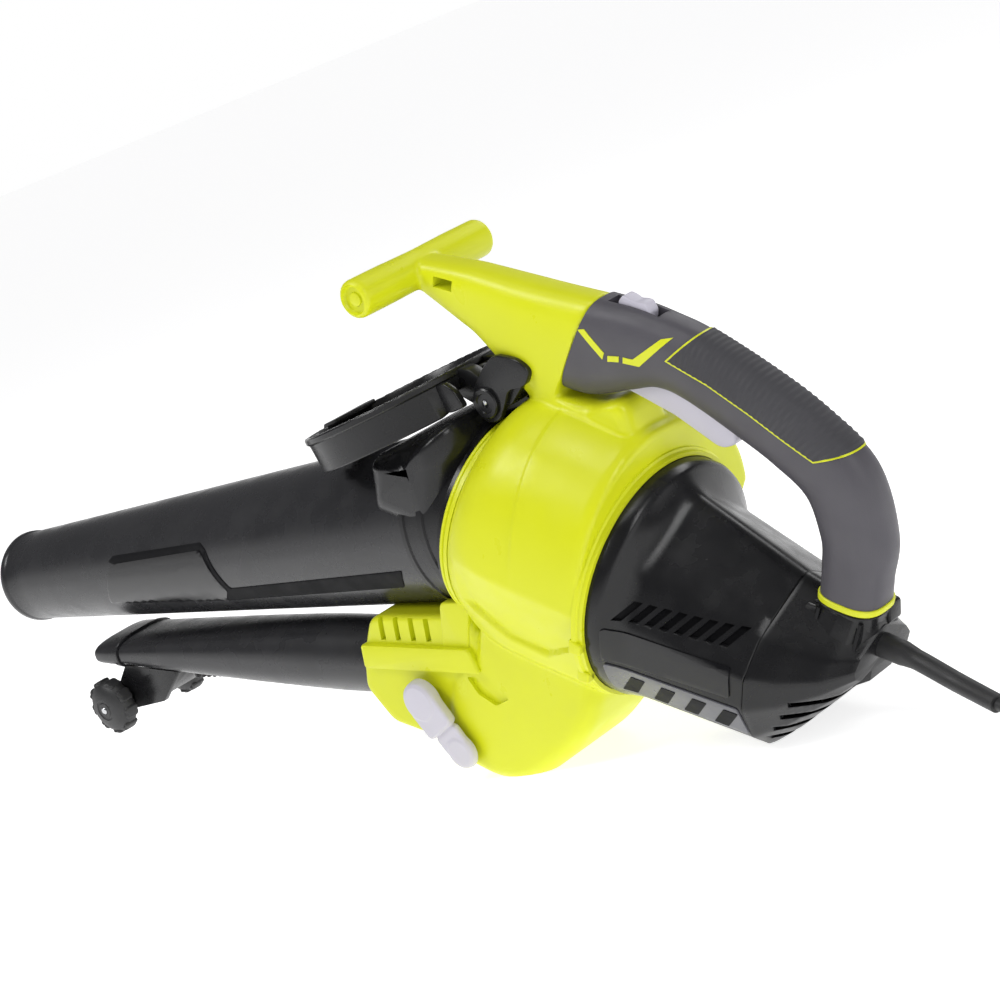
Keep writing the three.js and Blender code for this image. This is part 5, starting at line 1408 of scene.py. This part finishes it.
GUARD_ROUTE = [(236, 0, 18), (248, 0, 18), (272, 0, 17.5), (308, -7, 18.5), (343, -18, 23.8)]
CORD_ROUTE = [
    (0.4887, -0.0280, 0.0087), (0.4987, -0.0314, 0.0057), (0.5091, -0.0351, 0.0053),
    (0.5199, -0.0372, 0.0048),
    (0.5309, -0.0381, 0.0045), (0.5419, -0.0375, 0.0044), (0.5528, -0.0357, 0.0044),
    (0.5634, -0.0328, 0.0044),
    (0.5736, -0.0286, 0.0044), (0.5832, -0.0231, 0.0044), (0.5915, -0.0158, 0.0044),
    (0.5980, -0.0069, 0.0044),
    (0.6025, 0.0031, 0.0044), (0.6047, 0.0139, 0.0044), (0.6038, 0.0249, 0.0044), (0.5996, 0.0350, 0.0044),
    (0.5928, 0.0437, 0.0044), (0.5838, 0.0499, 0.0043), (0.5735, 0.0540, 0.0044), (0.5626, 0.0556, 0.0046),
    (0.5517, 0.0562, 0.0059), (0.5411, 0.0562, 0.0090), (0.5304, 0.0561, 0.0117), (0.5195, 0.0561, 0.0131),
    (0.5084, 0.0561, 0.0130),
]


def tube_rings(route, radii, count=40):
    """Round rings of given radii along a route of points."""
    route = np.asarray(route, float)
    rings = []
    side = np.array([0, 1.0, 0])
    for i, point in enumerate(route):
        ahead = route[min(i + 1, len(route) - 1)] - route[max(i - 1, 0)]
        ahead = ahead / np.linalg.norm(ahead)
        side = side - ahead * np.dot(side, ahead)
        side = side / np.linalg.norm(side)
        up = np.cross(ahead, side)
        turns = np.linspace(0, 2 * math.pi, count, endpoint=False)
        rings.append(point + radii[i] * (np.outer(np.cos(turns), side) + np.outer(np.sin(turns), up)))
    return rings


def make_cord(settings):
    curve = bpy.data.curves.new("mains_cord", "CURVE")
    curve.dimensions = "3D"
    curve.bevel_depth = CORD_R * MM
    curve.bevel_resolution = 6
    curve.use_fill_caps = True
    path = curve.splines.new("BEZIER")
    path.bezier_points.add(len(CORD_ROUTE) - 1)
    for point, place in zip(path.bezier_points, CORD_ROUTE):
        point.co = place
        point.handle_left_type = point.handle_right_type = "AUTO"
    path.resolution_u = 6
    cord = plain_object("mains_cord", curve)
    cord.data.materials.append(MATERIALS["black_rubber"])
    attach(cord, "housing")
    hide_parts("cord")
    end = Vector(CORD_ROUTE[-1])
    plug = Form()
    stops = [(0.3, 4.6, 4.6), (2, 6.4, 6.4), (12, 7.4, 6.8), (17, 12, 9), (22, 16.6, 11.6), (30, 17.8, 12.2),
             (37, 17.4, 12), (39.4, 16.2, 11), (40, 14, 9)]

    def at(distance, y, z):
        return np.array(ROW_BACK @ (end + Vector((-distance, y, z)) * MM))

    rings = []
    for distance, wide, high in stops:
        turns = np.linspace(0, 2 * math.pi, 56, endpoint=False)
        power = 2 / 2.6
        rings.append([at(distance, wide * math.copysign(abs(math.cos(t)) ** power, math.cos(t)),
                         high * math.copysign(abs(math.sin(t)) ** power, math.sin(t))) for t in turns])
    plug.skin(rings)
    for y in (-9.5, 9.5):
        base = at(38, y, 0)
        plug.lathe([(0, 0), (0, 2.4), (12, 2.4), (12.2, 2.2), (19.5, 2.2), (20.6, 1.4), (20.9, 0)], base,
                   at(60, y, 0) - base, 28)
    plug = plain_object("mains_plug", plug.mesh("plug"))
    finish(plug, "black_rubber", "housing", ("plug",), 34)
    route = spline(GUARD_ROUTE, 12)
    share = np.linspace(0, 1, len(route))
    radii = []
    for s in share:
        base = lerp(9.0, 8.4, s / 0.42) if s < 0.42 else lerp(7.0, 6.2, (s - 0.42) / 0.58)
        if 0.42 <= s < 0.5:
            base = lerp(8.2, 7.0, (s - 0.42) / 0.08)
        radii.append(base)
    guard = Form().skin(tube_rings(route, radii, 48))
    guard.lathe([(0, 0), (0, 10.4), (1, 11), (3, 11), (4, 10), (4, 0)], (237, 0, 18), (1, 0, 0), 64)
    guard = plain_object("cord_sleeve", guard.mesh("guard"))
    finish(guard, "black_rubber", "housing", ("cord_guard",), 34)


# ---- screws, motor and other small parts ---------------------------------------------------------

SCREWS = [(-70, 160), (-22, 150), (-64, -184), (36, -118), (28, 178), (196, 138)]


def make_screws(settings):
    screw = Form().lathe([(-20, 0), (-19, 1.4), (-1, 2), (0, 2), (0, 3.8), (1.4, 3.8), (2.4, 3.1), (2.6, 1.5),
                          (1.2, 1.4), (1.2, 0)], (0, 0, 0), (0, 1, 0), 28)
    places = [(x, 12.3, z, 0, 0) for x, z in SCREWS]
    screws = repeat("case_screws", screw, places, "bright_steel")
    finish(screws, "bright_steel", "housing",
           tuple(f"housing_screw_{i}" for i in range(1, 5)) + ("handle_screw_1", "handle_screw_2"), 30)


INNER_FINISH = {
    "steel": "bright_steel", "copper": "copper_winding", "board": "motor_board", "gloss": "black_case",
    "green": "green_case", "grip": "soft_grip", "rubber": "black_rubber", "pale": "pale_plastic",
    "tube": "tube_black", "insert": "ribbed_rubber",
}


def finish_inner_nodes(settings):
    slots = {row["node"]: row["material_slot"] for row in frame["record"]["subparts"]}
    for name, thing in frame["nodes"].items():
        if thing.hide_render:
            continue
        thing.data.materials.clear()
        thing.data.materials.append(MATERIALS[INNER_FINISH[slots[name]]])


# ---- add-on ------------------------------------------------------------------------------------


class BlowerSettings(bpy.types.PropertyGroup):
    """Sizes and colours of the blower's looks."""

    case_colour: bpy.props.FloatVectorProperty(
        name="Case colour", description="Colour of the fan housing and of the handle's marks",
        subtype="COLOR",
        default=(0.68, 0.72, 0.012), min=0, max=1)
    motor_colour: bpy.props.FloatVectorProperty(
        name="Motor cover colour", description="Colour of the motor cover and the door", subtype="COLOR",
        default=(0.010, 0.010, 0.011), min=0, max=1)
    tube_colour: bpy.props.FloatVectorProperty(
        name="Tube colour", description="Colour of the two tubes", subtype="COLOR",
        default=(0.022, 0.022, 0.024), min=0, max=1)
    grip_colour: bpy.props.FloatVectorProperty(
        name="Grip colour", description="Colour of the soft handle", subtype="COLOR",
        default=(0.072, 0.068, 0.080), min=0, max=1)
    moulding_voxel: bpy.props.FloatProperty(
        name="Moulding step", description="Finest step of the soft mouldings, in millimetres", default=1.77,
        min=0.8,
        max=4)
    rib_pitch: bpy.props.FloatProperty(
        name="Grip rib pitch", description="Distance between the ribs of the grip", unit="LENGTH",
        default=0.0042,
        min=0.002, max=0.01)
    door_bars: bpy.props.IntProperty(
        name="Door bars", description="Number of bars in the inlet door's grille", default=9, min=3, max=20)
    door_teeth: bpy.props.IntProperty(
        name="Door rim teeth", description="Number of small teeth round the inlet door's rim", default=60,
        min=8,
        max=200)
    tread_blocks: bpy.props.IntProperty(
        name="Tread blocks", description="Number of blocks round each wheel", default=9, min=4, max=24)
    louvres: bpy.props.IntProperty(
        name="Louvres", description="Number of louvres on each side of the motor cover", default=8, min=2,
        max=12)
    light: bpy.props.FloatProperty(
        name="Light", description="Strength of the studio lights", default=1.0, min=0.1, max=5)


class BLOWER_OT_materials(bpy.types.Operator):
    """Makes the finishes."""

    bl_idname = "blower.materials"
    bl_label = "Materials"
    bl_options = {"REGISTER"}

    def execute(self, context):
        make_materials(context.scene.blower)
        return {"FINISHED"}


class BLOWER_OT_stage(bpy.types.Operator):
    """Makes the floor, the lights and the camera."""

    bl_idname = "blower.stage"
    bl_label = "Stage"
    bl_options = {"REGISTER"}

    def execute(self, context):
        make_stage(context.scene.blower)
        return {"FINISHED"}


class BLOWER_OT_cord(bpy.types.Operator):
    """Makes the cord, its plug and its guard."""

    bl_idname = "blower.cord"
    bl_label = "Cord"
    bl_options = {"REGISTER"}

    def execute(self, context):
        make_cord(context.scene.blower)
        return {"FINISHED"}


class BLOWER_OT_housing(bpy.types.Operator):
    """Makes the fan housing with its stem and bar."""

    bl_idname = "blower.housing"
    bl_label = "Fan housing"
    bl_options = {"REGISTER"}

    def execute(self, context):
        make_housing(context.scene.blower)
        return {"FINISHED"}


class BLOWER_OT_inlet_ring(bpy.types.Operator):
    """Makes the inlet flange."""

    bl_idname = "blower.inlet_ring"
    bl_label = "Inlet flange"
    bl_options = {"REGISTER"}

    def execute(self, context):
        make_inlet_ring(context.scene.blower)
        return {"FINISHED"}


class BLOWER_OT_vacuum_tube(bpy.types.Operator):
    """Makes the vacuum tube, its panel and its collar."""

    bl_idname = "blower.vacuum_tube"
    bl_label = "Vacuum tube"
    bl_options = {"REGISTER"}

    def execute(self, context):
        make_vacuum_tube(context.scene.blower)
        return {"FINISHED"}


class BLOWER_OT_door(bpy.types.Operator):
    """Makes the inlet door, its grille and its bracket."""

    bl_idname = "blower.door"
    bl_label = "Inlet door"
    bl_options = {"REGISTER"}

    def execute(self, context):
        make_door(context.scene.blower)
        return {"FINISHED"}


class BLOWER_OT_blow_tube(bpy.types.Operator):
    """Makes the blow tube and its tip."""

    bl_idname = "blower.blow_tube"
    bl_label = "Blow tube"
    bl_options = {"REGISTER"}

    def execute(self, context):
        make_blow_tube(context.scene.blower)
        return {"FINISHED"}


class BLOWER_OT_wheels(bpy.types.Operator):
    """Makes the two wheels and their rod."""

    bl_idname = "blower.wheels"
    bl_label = "Wheels"
    bl_options = {"REGISTER"}

    def execute(self, context):
        make_wheels(context.scene.blower)
        return {"FINISHED"}


class BLOWER_OT_selector(bpy.types.Operator):
    """Makes the selector lever."""

    bl_idname = "blower.selector"
    bl_label = "Selector"
    bl_options = {"REGISTER"}

    def execute(self, context):
        make_selector(context.scene.blower)
        return {"FINISHED"}


class BLOWER_OT_motor_cover(bpy.types.Operator):
    """Makes the motor cover, its vents with painted shade in their slots and louvres, and its blank label."""

    bl_idname = "blower.motor_cover"
    bl_label = "Motor cover"
    bl_options = {"REGISTER"}

    def execute(self, context):
        make_motor_cover(context.scene.blower)
        return {"FINISHED"}


class BLOWER_OT_tail(bpy.types.Operator):
    """Makes the tail of the motor housing."""

    bl_idname = "blower.tail"
    bl_label = "Tail"
    bl_options = {"REGISTER"}

    def execute(self, context):
        make_tail(context.scene.blower)
        return {"FINISHED"}


class BLOWER_OT_handle(bpy.types.Operator):
    """Makes the handle, its ribbed grip and its marks."""

    bl_idname = "blower.handle"
    bl_label = "Main handle"
    bl_options = {"REGISTER"}

    def execute(self, context):
        make_handle(context.scene.blower)
        return {"FINISHED"}


class BLOWER_OT_controls(bpy.types.Operator):
    """Makes the trigger and the speed slider."""

    bl_idname = "blower.controls"
    bl_label = "Controls"
    bl_options = {"REGISTER"}

    def execute(self, context):
        make_controls(context.scene.blower)
        return {"FINISHED"}


class BLOWER_OT_screws(bpy.types.Operator):
    """Makes the case screws."""

    bl_idname = "blower.screws"
    bl_label = "Screws"
    bl_options = {"REGISTER"}

    def execute(self, context):
        make_screws(context.scene.blower)
        return {"FINISHED"}


class BLOWER_OT_inner_nodes(bpy.types.Operator):
    """Gives the motor's parts their finishes."""

    bl_idname = "blower.inner_nodes"
    bl_label = "Inner parts"
    bl_options = {"REGISTER"}

    def execute(self, context):
        finish_inner_nodes(context.scene.blower)
        return {"FINISHED"}


STEPS = (
    BLOWER_OT_materials,
    BLOWER_OT_stage,
    BLOWER_OT_cord,
    BLOWER_OT_housing,
    BLOWER_OT_inlet_ring,
    BLOWER_OT_vacuum_tube,
    BLOWER_OT_door,
    BLOWER_OT_blow_tube,
    BLOWER_OT_wheels,
    BLOWER_OT_selector,
    BLOWER_OT_motor_cover,
    BLOWER_OT_tail,
    BLOWER_OT_handle,
    BLOWER_OT_controls,
    BLOWER_OT_screws,
    BLOWER_OT_inner_nodes,
)


class BLOWER_PT_panel(bpy.types.Panel):
    """Lists the blower's sizes and its build steps."""

    bl_idname = "BLOWER_PT_panel"
    bl_label = "Garden Blower Vacuum"
    bl_space_type = "VIEW_3D"
    bl_region_type = "UI"
    bl_category = "Blower"

    def draw(self, context):
        for name in BlowerSettings.__annotations__:
            self.layout.prop(context.scene.blower, name)
        for made in STEPS:
            self.layout.operator(made.bl_idname)


CLASSES = [BlowerSettings, *STEPS, BLOWER_PT_panel]


def register():
    for made in CLASSES:
        bpy.utils.register_class(made)
    bpy.types.Scene.blower = bpy.props.PointerProperty(type=BlowerSettings)


def unregister():
    del bpy.types.Scene.blower
    for made in reversed(CLASSES):
        bpy.utils.unregister_class(made)


def main():
    register()
    for made in STEPS:
        getattr(bpy.ops.blower, made.bl_idname.split(".")[1])()


if __name__ == "__main__":
    main()
